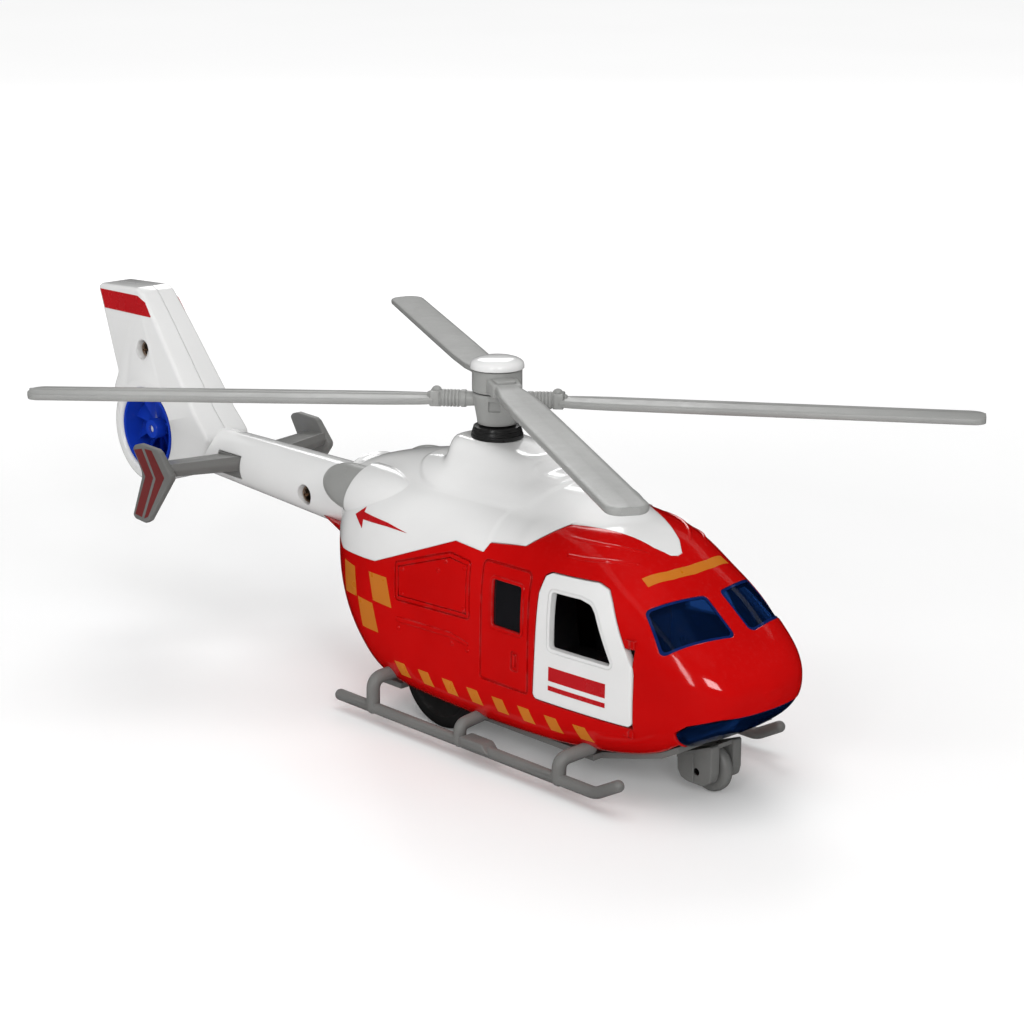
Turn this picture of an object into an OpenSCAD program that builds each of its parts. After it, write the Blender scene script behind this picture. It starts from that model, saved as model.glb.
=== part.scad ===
// Toy helicopter: moulded cabin, folding four-blade rotor, ducted tail fan, skids and hidden wheels.
// Millimetres. +X is the nose, +Y is the left (port) side, +Z is up.
// The drawing is laid out from the mast axis (x = 0) and the floor (z = 0); placed() then moves the
// whole object so that the origin is under the middle of its box.

/* [Cabin] */
// Half width of the cabin at its widest
cabin_w = 26.5; // [25.5:0.5:27.5]
// Height of the cabin roof above the floor
roof_z = 67; // [66:0.5:68]
// Wall thickness of the moulded shells
wall = 2; // [1.6:0.2:2.4]

/* [Rotor] */
// Distance from the mast to a blade tip
blade_r = 130; // [110:1:135]
// Blade chord near the tip
blade_c = 10.5; // [9:0.5:12]
// Blade thickness
blade_t = 2; // [1.2:0.1:2.2]
// Resting direction of the lower blade pair, degrees from the nose
low_dir = 40; // [0:5:90]
// Resting direction of the upper blade pair, degrees from the nose
up_dir = -30; // [-50:5:-20]
// Diameter of the rotor shaft
shaft_d = 3; // [2.5:0.1:3.4]

/* [Tail] */
// Radius of the fan duct
duct_r = 13.1; // [12:0.1:13.5]
// Number of fan vanes
vanes = 10; // [6:1:12]

/* [Running gear] */
// Diameter of a main wheel
main_d = 30; // [26:0.5:30]
// Diameter of the nose wheel
nose_d = 13; // [11:0.5:13.5]
// Half the distance between the skid tubes
skid_y = 30.5; // [29:0.5:33]
// Diameter of a skid tube
tube_d = 3.2; // [2.6:0.1:3.6]

/* [Fits] */
// Running clearance on a radius, shaft to bore
run = 0.06; // [0.03:0.01:0.09]
// Gap around doors, covers and the button
gap = 0.35; // [0.3:0.05:0.5]

/* [Hidden] */
cx = -32.9;

white = [0.93, 0.93, 0.92]; red = [0.75, 0.03, 0.03]; grey = [0.52, 0.52, 0.50];
blue = [0.05, 0.15, 0.75]; black = [0.05, 0.05, 0.05]; steel = [0.7, 0.7, 0.72];

module placed() translate([-cx, 0, 0]) children();

// ---- lofted body ----
// Stations: x, half width, lowest z, highest z, z of the widest line, roundness above, roundness below
ST = [
  [-53,   2,   41, 50, 45.5, 2,   2],
  [-52,   9,   35, 56, 45,   2.1, 2],
  [-48,   16,  25, 61, 43,   2.4, 2.2],
  [-41,   21.5,17, 64.5, 40, 2.8, 2.6],
  [-32,   24.8,11, 66.5, 37,   3,   3.2],
  [-20,   cabin_w, 8, roof_z - 0.5, 35, 3.2, 4.5],
  [0,     cabin_w, 7.5, roof_z, 33, 3.5, 6],
  [22,    cabin_w, 7.5, roof_z, 33, 3.6, 6.5],
  [44,    cabin_w, 8, roof_z - 0.5, 33, 3.5, 6],
  [58,    26, 8.8, 64.3, 33, 3.1, 5],
  [69,    25.2,  10.3, 58.6, 33, 2.9, 4.5],
  [78.5,  23.7, 12.8, 52.8, 32, 2.9, 4],
  [87,    21.4, 16.6, 46.4, 32, 2.8, 3.2],
  [93.5,  17.8, 20.6, 41.2, 32, 2.6, 2.8],
  [98.3,  12, 24.6, 36.8, 31.5, 2.3, 2.4],
  [100.3, 2,   29.5, 32.5, 31, 2, 2]
];
// Engine ridge on the roof, same columns
RT = [
  [-60, 8,  50, 60,   55, 2.2, 2],
  [-50, 11, 50, 64.3, 56, 2.4, 2],
  [-37, 13, 50, 68.4, 57, 2.8, 2],
  [-20, 14.5, 50, 71.8, 57, 3.2, 2],
  [0,   15, 50, 73.2, 57, 3.4, 2],
  [22,  15, 50, 73.6, 57, 3.4, 2],
  [40,  14.3, 50, 72.8, 57, 3.2, 2],
  [47,  12, 50, 70.6, 57, 2.8, 2],
  [51,  8,  50, 67, 57, 2.4, 2],
  [53,  2,  54, 60, 57, 2, 2]
];
function at(T, i) = let (n = len(T) - 1) i < 0 ? 2 * T[0] - T[1] : i > n ? 2 * T[n] - T[n - 1] : T[i];
function cr(a, b, c, d, t) = 0.5 * (2 * b + (c - a) * t + (2 * a - 5 * b + 4 * c - d) * t * t + (3 * b - a - 3 * c + d) * t * t * t);
function sta(T, u) = let (i = min(floor(u), len(T) - 2), t = u - i) cr(at(T, i - 1), at(T, i), at(T, i + 1), at(T, i + 2), t);
function spow(v, e) = sign(v) * pow(abs(v), e);
// One ring of the section at s, moved inwards by o
function ring(s, o, m) = [for (k = [0:m - 1]) let (a = 360 * (k + 0.5) / m, c = cos(a), q = sin(a),
    n = q >= 0 ? s[5] : s[6], h = q >= 0 ? s[3] - s[4] - o : s[4] - s[2] - o)
  [s[0], (s[1] - o) * spow(c, 2 / n), s[4] + h * spow(q, 2 / n)]];
// Closed skin through the stations from u0 to u1
module loft(T, o = 0, u0 = 0, u1 = -1, k = 2, m = 44) {
  e = u1 < 0 ? len(T) - 1 : u1;
  n = ceil((e - u0) * k);
  R = [for (i = [0:n]) ring(sta(T, u0 + (e - u0) * i / n), o, m)];
  P = [for (r = R) for (p = r) p];
  c0 = len(P);
  A = concat(P, [[R[0][0][0], 0, sta(T, u0)[4]], [R[n][0][0], 0, sta(T, e)[4]]]);
  polyhedron(points = A, faces = concat(
    [for (i = [0:n - 1]) for (j = [0:m - 1]) [i * m + j, (i + 1) * m + (j + 1) % m, i * m + (j + 1) % m]],
    [for (i = [0:n - 1]) for (j = [0:m - 1]) [i * m + j, (i + 1) * m + j, (i + 1) * m + (j + 1) % m]],
    [for (j = [0:m - 1]) [j, (j + 1) % m, c0]],
    [for (j = [0:m - 1]) [n * m + j, c0 + 1, n * m + (j + 1) % m]]));
}
// Flat outline in x and z, pushed through in y from y0 to y1
module side(pts, y0 = -60, y1 = 60) translate([0, y1, 0]) rotate([90, 0, 0]) linear_extrude(y1 - y0) polygon(pts);
// Flat outline in x and y, pushed up from z0 to z1
module plan(pts, z0, z1) translate([0, 0, z0]) linear_extrude(z1 - z0) polygon(pts);
module rod(a, b, r, fn = 32) {
  d = b - a; l = norm(d);
  translate(a) rotate([0, acos(d[2] / l), atan2(d[1], d[0])]) cylinder(h = l, r = r, $fn = fn);
}
SPIKE = [[40, -14.6], [43, -13.6], [63, -4.8], [66.5, -2], [67, 0], [66.5, 2], [63, 4.8], [43, 13.6], [40, 14.6]];
// Space taken by the white upper shell
module upper_space() {
  side([[-80, 47], [-46, 47], [-39, 43.7], [-21, 44.5], [10, 56.5], [21, 55.8], [22.5, 58.4], [35, 60], [37, 61.5], [43, 66], [43, 90], [-80, 90]]);
  plan(SPIKE, 55, 90);
}
// Outline of a cockpit door, grown by g
DOOR = [[41.6, 22.6], [43.2, 50], [44.6, 54.6], [46.4, 55.6], [60.5, 55.6], [63.6, 54.4], [65.8, 51.5], [74.6, 37.2], [74.9, 35.5], [74.6, 22.6], [73.6, 21.6], [42.4, 21.6]];
GLASS_D = [[47.3, 36.2], [47.3, 51], [56.6, 51], [60, 50.2], [61.6, 48.4], [68.2, 36.2]];
module outline(p, g = 0) offset(delta = g) polygon(p);
module door_cut(g, s) scale([1, s, 1]) translate([0, 40, 0]) rotate([90, 0, 0]) linear_extrude(24) outline(DOOR, g);
hx = 73.4; hy = 23.3; door_r = 1.35;
// Front windscreen openings, one side
PANE = [[74.2, 19.4, 51], [78.8, 2.6, 52.3], [89.6, 2.8, 44.3], [81.9, 21.6, 41.1]];
pane_c = (PANE[0] + PANE[1] + PANE[2] + PANE[3]) / 4;
pane_n = let (v = cross(PANE[1] - PANE[3], PANE[2] - PANE[0])) v / norm(v) * sign(v[2]);
module pane(s, g, a = -5, b = 5) hull() for (c = PANE) for (d = [a, b]) {
  e = c + (c - pane_c) / norm(c - pane_c) * g * 1.4 + pane_n * d;
  translate([e[0], s * e[1], e[2]]) cube(0.02, center = true);
}
chin_pts = [[84, 11], [85.6, 22.3], [89, 24.8], [96, 27], [110, 28.2], [110, 8], [84, 8]];
// Exhaust fairings behind the shoulders
ex = -42; ey = 15; ez = 59;
module ellipsoid(x, y, z, rx, ry, rz, fn = 32) translate([x, y, z]) scale([rx, ry, rz]) sphere(r = 1, $fn = fn);
module dome(s, g = 0) intersection() { ellipsoid(ex, s * ey, ez, 13 + g, 5.6 + g, 6.9 + g);
  translate([ex - 30, -40, 40]) cube([30, 80, 40]); }

module cabin_shell() placed() color(red) resize([0, 0, 0]) difference() {
  loft(ST);
  cavity();
  upper_space();
  translate([-26.2, -20.9, -1]) cube([84.4, 41.8, 15]);
  side(RAMP_HOLE, -17.7, 17.7);
  for (s = [-1, 1]) {
    door_cut(gap, s);
    translate([hx, s * hy, 18.7]) cylinder(h = 25.6, r = 1.05, $fn = 20);
    translate([hx, s * hy, 36]) cylinder(h = 5.8, r = door_r + 0.3, $fn = 40);
    lug_blocks(s, 0.05);
    side([[26.3, 37.6], [26.3, 50], [37, 50], [37, 37.6]], s > 0 ? 20 : -40, s > 0 ? 40 : -20);
    pane(s, 0.1);
  }
  side(chin_pts, -21.5, 21.5);
  translate([-60, 0, 50.3]) rotate([0, 90, 0]) cylinder(h = 20, r = 9.75, $fn = 48);
}
module cavity() loft(ST, wall, 1.6, 13.6);
module lug_blocks(s, g) for (z = [18.8, 42.1]) translate([hx - 1.6 - g, s > 0 ? 21.4 - g : -24.1 - g, z - g]) cube([3.2 + 2 * g, 2.7 + 2 * g, 2.1 + 2 * g]);
module hinge_lugs() placed() color(red) for (s = [-1, 1]) difference() {
  lug_blocks(s, 0);
  translate([hx, s * hy, 15]) cylinder(h = 40, r = 0.7 + run, $fn = 32);
}
module upper_outer() {
  intersection() { loft(ST); upper_space(); }
  loft(RT);
  // rotor pylon
  hull() { translate([-4, 0, 71]) linear_extrude(1) offset(r = 4, $fn = 24) square([5, 14], center = true);
    translate([16, 0, 66]) linear_extrude(1) offset(r = 4, $fn = 24) square([26, 14], center = true);
    translate([-5, 0, 78.2]) linear_extrude(0.6) offset(r = 5, $fn = 24) square([3, 9], center = true);
    translate([12, 0, 76.6]) linear_extrude(0.6) offset(r = 5, $fn = 24) square([6, 9], center = true); }
  for (s = [-1, 1]) { ellipsoid(ex + 14, s * 14.2, ez - 1.6, 16.5, 7.4, 8.8);
    // collar round the dome, ending flat at the dome's open side
    intersection() { ellipsoid(ex + 9, s * ey, ez - 0.1, 19, 7.4, 8.9); translate([ex, -40, 40]) cube([40, 80, 40]); } }
}
module top_cowl() placed() color(white) resize([0, 0, 0]) difference() {
  upper_outer();
  intersection() { loft(ST, wall, 1.6, 13.6); translate([-70, -40, 0]) cube([200, 80, 66]); }
  intersection() { loft(RT, wall, 0.6, 8.2); union() { translate([-70, -40, 51]) cube([62, 80, 40]); translate([8, -40, 51]) cube([60, 80, 40]); translate([-10, -40, 51]) cube([20, 80, 17]); } }
  translate([0, 0, 40]) cylinder(h = 50, r = 4.5, $fn = 48);
  translate([-60, 0, 50.3]) rotate([0, 90, 0]) cylinder(h = 20, r = 9.75, $fn = 48);
  for (s = [-1, 1]) { dome(s, gap);
    translate([ex - 1, s * ey, ez]) rotate([0, 90, 0]) cylinder(h = 6, r = 5.2, $fn = 32);
    translate([ex - 1, s * ey, ez]) rotate([0, 90, 0]) cylinder(h = 14, r = 2.2, $fn = 24); }
  // room for the button to go in
  translate([ex - 0.3, -ey, ez]) rotate([0, 90, 0]) scale([6.9 + gap, 5.6 + gap, 1]) cylinder(h = 2.65, r = 1, $fn = 64);
  difference() { plan([[43.01, -17], [74, -17], [74, 17], [43.01, 17]], 40, 90); plan(SPIKE, 55, 90); }
}

// ---- tail ----
fx = -154; fz = 54.7; bx0 = -56; bx1 = -130;
module boom_cone(o, x0, x1) { a = atan2(1.9, 74); // the boom axis rises slightly towards the tail
  translate([x0, 0, 50.3]) rotate([0, -90 + a, 0]) cylinder(h = x0 - x1, r1 = 9.6 - o, r2 = 7.3 - o, $fn = 64); }
FIN = [[-179.4, 97], [-178.2, 98.2], [-158.5, 99.2], [-155.5, 98], [-148, 89.5], [-133, 71], [-128, 64.6], [-121, 57.6], [-124, 50.5], [-129.5, 45.6], [-136, 45], [-154, 45], [-166, 52], [-171, 66], [-168.6, 71.2]];
FIN_IN = [[-176, 95], [-158.6, 96], [-156.6, 95], [-149.6, 87.2], [-138.6, 73.8], [-165.6, 73.8]];
module fin_wedge(o) rotate([90, 0, 90]) translate([0, 0, -200]) linear_extrude(90) polygon([[-8.2 + o, 30], [-8.2 + o, 60], [-6.2 + o, 100], [6.2 - o, 100], [8.2 - o, 60], [8.2 - o, 30]]);
module tail_solid() {
  difference() { boom_cone(0, bx0, bx1); boom_cone(1.7, bx0 + 1, bx1 - 5); }
  intersection() { union() { side(FIN, -9, 9); translate([fx, 9, fz]) rotate([90, 0, 0]) cylinder(h = 18, r = 17, $fn = 64); } fin_wedge(0); }
  // plug into the cabin
  difference() { translate([-58, 0, 50.3]) rotate([0, 90, 0]) cylinder(h = 14, r = 9.3, $fn = 64);
    translate([-59, 0, 50.3]) rotate([0, 90, 0]) cylinder(h = 16, r = 7.5, $fn = 64); }
}
SCREWS = [[-73.3, 49.6, 9.2], [-155.2, 80.2, 7.2]];
module tail_cuts() {
  translate([fx, 20, fz]) rotate([90, 0, 0]) cylinder(h = 40, r = duct_r, $fn = 64);
  intersection() { side(FIN_IN, -9, 9); fin_wedge(1.8); }
  // slot for the stabiliser
  translate([-117.1, -20, 46.9]) cube([12.2, 40, 8.3]);
}
module tail_boom_left() placed() color(white) difference() {
  union() { difference() { tail_solid(); tail_cuts(); }
    for (q = SCREWS) translate([q[0], 0, q[1]]) rotate([-90, 0, 0]) cylinder(h = q[2] - 0.8, r = 2.6, $fn = 32);
    // spider and pin that carry the fan
    translate([fx, 7.2, fz]) rotate([90, 0, 0]) cylinder(h = 1.4, r = 3.2, $fn = 32);
    for (a = [90, 210, 330]) translate([fx, 6.5, fz]) rotate([0, a, 0]) translate([0, -0.7, -0.8]) cube([duct_r + 0.6, 1.4, 1.6]);
    translate([fx, 6, fz]) rotate([90, 0, 0]) cylinder(h = 11, r = 1.2, $fn = 32); }
  translate([-200, -40, 0]) cube([200, 40, 120]);
  for (q = SCREWS) translate([q[0], -1, q[1]]) rotate([-90, 0, 0]) cylinder(h = 6.4, r = 0.9, $fn = 32);
}
module tail_boom_right() placed() color(white) difference() {
  union() { difference() { tail_solid(); tail_cuts(); }
    for (q = SCREWS) translate([q[0], 0, q[1]]) rotate([90, 0, 0]) cylinder(h = q[2] - 0.6, r = 3.9, $fn = 32); }
  translate([-200, 0, 0]) cube([200, 40, 120]);
  for (q = SCREWS) { translate([q[0], 1, q[1]]) rotate([90, 0, 0]) cylinder(h = 12, r = 1.2, $fn = 32);
    translate([q[0], -q[2] + 4, q[1]]) rotate([90, 0, 0]) cylinder(h = 12, r = 3, $fn = 32); }
}
module screw(l, r, hr, hh) { // pan head screw, head on top, shank down, with a cross slot
  difference() { union() { cylinder(h = hh, r = hr, $fn = 32); translate([0, 0, -l]) cylinder(h = l, r = r, $fn = 24); }
    for (a = [0, 90]) rotate([0, 0, a]) translate([-hr * 0.65, -0.3, hh - 0.7]) cube([hr * 1.3, 0.6, 1]); }
}
module tail_screws() placed() color(steel) for (q = SCREWS) translate([q[0], -q[2] + 4, q[1]]) rotate([90, 0, 0]) screw(q[2] - 4 + 5, 0.9, 2.6, 1.5);
module tail_fan() placed() color(blue) difference() {
  union() { translate([fx, 4.6, fz]) rotate([90, 0, 0]) difference() { union() { cylinder(h = 10.4, r = 3.2, $fn = 48);
        cylinder(h = 1.2, r = duct_r - 0.6, $fn = 64);
        difference() { cylinder(h = 9.6, r = duct_r - 0.6, $fn = 64); translate([0, 0, -1]) cylinder(h = 12, r = duct_r - 1.6, $fn = 64); }
        intersection() { cylinder(h = 9, r = duct_r - 1, $fn = 64);
          for (a = [0:vanes - 1]) rotate([0, 0, a * 360 / vanes]) translate([2.6, 0, 4.6]) rotate([38, 0, 0]) translate([0, -4.4, -0.5]) cube([duct_r - 3.8, 8.8, 1]); } } } }
  translate([fx, 6, fz]) rotate([90, 0, 0]) cylinder(h = 14, r = 1.2 + run, $fn = 32);
}
PLATE = [[-127.6, 57.8], [-126.4, 58.9], [-124, 59.6], [-115.4, 59.3], [-114, 58.6], [-108.4, 52.6], [-108.5, 51.2], [-120.6, 36.2], [-122.5, 35.2], [-127.8, 35.6], [-128.8, 36.8], [-123, 50.4]];
module stabiliser() placed() color(grey) {
  translate([-116.9, -8, 47.1]) cube([11.8, 16, 7.9]);
  for (s = [-1, 1]) { hull() { side([[-116.5, 48], [-116.9, 53.8], [-106, 54.9], [-105.1, 52.7], [-106, 50.4]], s > 0 ? 7.9 : -8, s > 0 ? 8 : -7.9);
      side([[-119.5, 50.6], [-119.8, 54.4], [-110.5, 55.4], [-109.8, 53.4], [-110.5, 51.6]], s > 0 ? 29 : -29.1, s > 0 ? 29.1 : -29); }
    side(PLATE, s > 0 ? 29 : -31.2, s > 0 ? 31.2 : -29); }
}

// ---- underside ----
wx = -1.5; wz = main_d / 2; nx = 80; nz = nose_d / 2;
spk = 63;
GRILLE = [for (a = [0:5]) [spk + 4 * cos(60 * a), 4 * sin(60 * a)]];
RAMP = [[57.9, 7.2], [57.9, 8.8], [69, 11.6], [78.5, 14.4], [84.2, 17.4], [84.8, 16], [78.9, 12.9], [69.4, 10.1], [58.4, 7.2]];
RAMP_HOLE = [[57.9, 0], [57.9, 11], [69, 13], [78.5, 16], [84.6, 19.2], [86, 8], [86, 0]];
CASE = [[-21, 14], [-21, -14], [50, 16], [50, -16]];
module belly_plate() placed() color(grey) difference() {
  union() {
    translate([-26, -20.7, 7.2]) cube([84, 41.4, 1.6]);
    side(RAMP, -17.5, 17.5);
    for (y = [-11, 11]) translate([wx - 3, y - 2, 8.7]) cube([6, 4, wz - 8.7 + 3.5]);
    difference() { translate([20, -8.6, 8.7]) cube([27.6, 17.2, 13]); translate([21.2, -7.4, 0]) cube([25.2, 14.8, 40]); }
    for (q = CASE) translate([q[0], q[1], 8.7]) cylinder(h = 5, r = 2.6, $fn = 32);
    translate([spk, 0, 8.7]) difference() { cylinder(h = 1.6, r = 9.6, $fn = 48); translate([0, 0, -1]) cylinder(h = 4, r = 8.1, $fn = 48); }
    for (y = [-7, 7]) translate([-24, y, 8.7]) cylinder(h = 26, r = 2, $fn = 24);
    translate([47.5, -3, 8.7]) cube([5, 6, 5]);
  }
  for (s = [-1, 1]) translate([wx - wz - 0.6, s > 0 ? 14.9 : -21, 0]) cube([2 * wz + 1.2, 6.1, 9.5]);
  translate([wx, 20, wz]) rotate([90, 0, 0]) cylinder(h = 40, r = 1.5 + run, $fn = 32);
  translate([20.6, -8, 0]) cube([26.4, 16, 8.9]);
  translate([46.9, -3.2, 0]) cube([5.6, 6.4, 8.9]);
  translate([50, 0, 0]) cylinder(h = 13, r = 0.8, $fn = 24);
  for (q = CASE) { translate([q[0], q[1], 0]) cylinder(h = 30, r = 1.1, $fn = 32); translate([q[0], q[1], 0]) cylinder(h = 10.2, r = 2, $fn = 32); }
  for (q = GRILLE) translate([q[0], q[1], 0]) cylinder(h = 10, r = 0.9, $fn = 24);
  translate([spk, 0, 0]) cylinder(h = 10, r = 0.9, $fn = 24);
  translate([nx, 2.4, nz]) rotate([90, 0, 0]) cylinder(h = 4.8, r = nz + 0.45, $fn = 48);
}
module battery_door() placed() color(grey) difference() {
  union() { translate([20.8, -7.8, 7.2]) cube([26.1, 15.6, 1.5]); translate([46.8, -3, 7.2]) cube([5.5, 6, 1.5]); }
  translate([50, 0, 0]) cylinder(h = 13, r = 1.1, $fn = 24);
  translate([50, 0, 0]) cylinder(h = 7.9, r = 1.9, $fn = 32);
}
module battery_door_screw() placed() color(steel) translate([50, 0, 7.9]) rotate([180, 0, 0]) screw(4.4, 0.8, 1.7, 0.7);
module case_screws() placed() color(steel) for (q = CASE) translate([q[0], q[1], 10.2]) rotate([180, 0, 0]) screw(9, 1.05, 1.9, 1.2);
module skid(s) color(grey) {
  y = s * skid_y; z = 4.2; r = tube_d / 2;
  rod([-31.5, y, z], [69, y, z], r);
  translate([-31.5, y, z]) sphere(r = r - 0.03, $fn = 32); translate([69, y, z]) sphere(r = r + 0.04, $fn = 32);
  rod([69, y, z], [76.5, y, z + 4.2], r - 0.02); translate([76.5, y, z + 4.2]) sphere(r = r - 0.06, $fn = 32);
  for (q = [[-17.5, 12.4, 0.6, 22, 13], [55.4, 9.3, 2.6, 21.9, 11.2]]) { a = [q[0], y, z]; b = [q[0] + 0.4, y, q[1]]; c = [q[0] + q[2], s * q[3], q[4]];
    rod(a, b, 1.9); translate(b) sphere(r = 1.96, $fn = 32); rod(b, c, 1.85); }
  rod([18, y, z], [18, y, z + 4.2], 1.8); translate([18, y, z + 4.2]) sphere(r = 1.86, $fn = 32);
  rod([18, y, z + 4.2], [18.6, s * 21.9, 10], 1.75);
  translate([20, y - 2.4, z]) cube([11, 4.8, 2.4]);
}
module skid_left() placed() skid(1);
module skid_right() placed() skid(-1);
module nose_gear_bracket() placed() color(grey) difference() {
  union() {
    for (s = [-1, 1]) { side([[73.4, 5.6], [74.4, 3.8], [76.6, 3], [82, 3], [84.4, 4.4], [85, 6.8], [85, 14.4], [73.2, 9.8]], s > 0 ? 2.6 : -5.8, s > 0 ? 5.8 : -2.6); }
    side([[73.2, 9.9], [73.2, 8.7], [84.4, 13.1], [84.4, 14.3]], -5.8, 5.8);
  }
  translate([nx, 10, nz]) rotate([90, 0, 0]) cylinder(h = 20, r = 1.0, $fn = 32);
  translate([nx, 2.6, nz]) rotate([90, 0, 0]) cylinder(h = 5.2, r = nz + 0.6, $fn = 48);
}
module nose_axle() placed() color(steel) translate([nx, 5.6, nz]) rotate([90, 0, 0]) cylinder(h = 11.2, r = 1.0, $fn = 32);
module nose_wheel() placed() color(grey) translate([nx, 0, nz]) rotate([90, 0, 0]) rotate_extrude($fn = 64)
  polygon([[1.0 + run, -2.1], [3.4, -2.1], [3.4, -1.6], [nz - 0.9, -1.6], [nz, -0.8], [nz, 0.8], [nz - 0.9, 1.6], [3.4, 1.6], [3.4, 2.1], [1.0 + run, 2.1]]);
module wheel() rotate([90, 0, 0]) rotate_extrude($fn = 96)
  polygon([[1.5, -2.4], [4, -2.4], [4, -1.5], [wz - 4, -1.5], [wz - 3.4, -2.4], [wz - 0.8, -2.4], [wz, -1.6], [wz, 1.6], [wz - 0.8, 2.4], [wz - 3.4, 2.4], [wz - 4, 1.5], [4, 1.5], [4, 2.4], [1.5, 2.4]]);
module main_wheel_left() placed() color(black) translate([wx, 18, wz]) wheel();
module main_wheel_right() placed() color(black) translate([wx, -18, wz]) wheel();
module main_axle() placed() color(steel) translate([wx, 20, wz]) rotate([90, 0, 0]) cylinder(h = 40, r = 1.5, $fn = 32);

// ---- glazing and cabin ----
module windscreen() placed() color(blue) resize([0, 0, 0]) difference() {
  intersection() { loft(ST, 0.5, 9, 13.4); union() { for (s = [-1, 1]) pane(s, 0); difference() { for (s = [-1, 1]) pane(s, 1.6); } translate([76, -6, 40]) cube([16, 12, 14]); } }
  difference() { loft(ST, 0.4, 8.6, 13.6); loft(ST, wall + 0.1, 8.6, 13.6); for (s = [-1, 1]) pane(s, 0); }
  loft(ST, wall + 1.2, 8.6, 13.3);
}
module chin_window() placed() color(blue) resize([0, 0, 0]) difference() {
  intersection() { loft(ST, 0.3, 9, 14.6); side([[84.9, 16.8], [85.8, 22.2], [89.1, 24.6], [96.1, 26.8], [110, 28], [110, 8], [84.9, 8]], -21.3, 21.3); }
  loft(ST, wall, 8.6, 13.9);
}
module side_windows() placed() color(black) for (s = [-1, 1]) translate([25.2, s > 0 ? 23.2 : -24.2, 36.5]) cube([12.9, 1, 14.6]);
module cabin_liner() placed() color(black) difference() {
  union() { translate([22, -19.5, 22.6]) cube([58, 39, 1.4]); translate([22, -19.5, 24]) cube([1.6, 39, 30]);
    for (s = [-1, 1]) { translate([36, s * 9.5 - 6, 23.9]) cube([13, 12, 6]); translate([34, s * 9.5 - 5.8, 22.9]) rotate([0, -8, 0]) cube([3.4, 11.6, 23]); }
    translate([68, -15, 23.9]) cube([7, 30, 11]); }
}
// ---- electrics ----
module circuit_board() placed() color([0.1, 0.4, 0.15]) difference() { translate([-27, -12, 34.7]) cube([18, 24, 1.4]);
  for (y = [-7, 7]) translate([-24, y, 30]) cylinder(h = 10, r = 0.8, $fn = 24); }
module switch() placed() color(black) { translate([-31, -ey - 3, ez - 3]) cube([3.4, 6, 6]); translate([-31.8, -ey, ez]) rotate([0, 90, 0]) cylinder(h = 1, r = 1.3, $fn = 24);
  translate([-30, -ey - 1.5, 36]) cube([2.4, 3, ez - 38.9]); translate([-30, -ey - 1.5, 34.8]) cube([2.4, 6.2, 1.3]); translate([-30, -12, 34.8]) cube([2.9, 3, 1.3]); }
module speaker() placed() color(black) translate([spk, 0, 8.9]) difference() { cylinder(h = 4.4, r = 8, $fn = 48); translate([0, 0, -1]) cylinder(h = 2, r = 6.6, $fn = 48); }
module battery_cells() placed() color(steel) for (i = [0:2]) translate([23.6 + i * 6.6, 0, 15]) rotate([0, 90, 0]) { cylinder(h = 5, r = 5.8, $fn = 48); cylinder(h = 5.6, r = 4.6, $fn = 48); }
module battery_contacts() placed() color(steel) { translate([21.2, -4, 11]) cube([0.4, 8, 8]); translate([21.5, 0, 15]) rotate([0, 90, 0]) cylinder(h = 2.1, r = 1.6, $fn = 24);
  translate([45.9, -4, 11]) cube([0.5, 8, 8]); translate([42.4, 0, 15]) rotate([0, 90, 0]) cylinder(h = 3.6, r = 1.6, $fn = 24); }
module exhaust_left() placed() color(grey) resize([0, 0, 0]) { dome(1); translate([ex - 0.2, ey, ez]) rotate([0, 90, 0]) cylinder(h = 2.6, r = 4.8, $fn = 32); }
module sound_button() placed() color(grey) { dome(-1);
  translate([ex - 0.1, -ey, ez]) rotate([0, 90, 0]) cylinder(h = 7.5, r = 1.7, $fn = 24); }
module button_spring() placed() color(steel) translate([ex + 2.6, -ey, ez]) rotate([0, 90, 0]) difference() { cylinder(h = 2, r = 2.9, $fn = 32); translate([0, 0, -1]) cylinder(h = 5, r = 2.2, $fn = 32); }

// ---- rotor ----
module mast_collar() placed() color(black) difference() {
  union() { translate([0, 0, 78.7]) cylinder(h = 1.2, r = 7.1, $fn = 64); translate([0, 0, 79.8]) cylinder(h = 2.3, r1 = 6.9, r2 = 6.4, $fn = 64); translate([0, 0, 68]) cylinder(h = 10.8, r = 4.4, $fn = 48); }
  translate([0, 0, 60]) cylinder(h = 30, r = shaft_d / 2 + run, $fn = 48);
}
module rotor_shaft() placed() color(steel) translate([0, 0, 64.5]) cylinder(h = 33.7, r = shaft_d / 2, $fn = 48);
module shaft_clip() placed() color(steel) translate([0, 0, 66]) difference() { cylinder(h = 1.2, r = 3.2, $fn = 48); translate([0, 0, -1]) cylinder(h = 3, r = shaft_d / 2, $fn = 48); }
BL = [[17, -3.1], [20, -4.2], [30, -5.2], [60, -blade_c / 2], [blade_r - 4, -blade_c / 2], [blade_r - 1.2, -blade_c / 2 + 1.2], [blade_r, -blade_c / 2 + 4],
  [blade_r, blade_c / 2 - 4], [blade_r - 1.2, blade_c / 2 - 1.2], [blade_r - 4, blade_c / 2], [60, blade_c / 2], [30, 5.2], [20, 4.2], [17, 3.1]];
module blade() rotate([0, 0.75, 0]) translate([0, 0, -blade_t / 2]) { linear_extrude(blade_t) polygon(BL);
  translate([19, -0.7, blade_t - 0.1]) cube([blade_r - 26, 1.2, 0.5]); }
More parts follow.
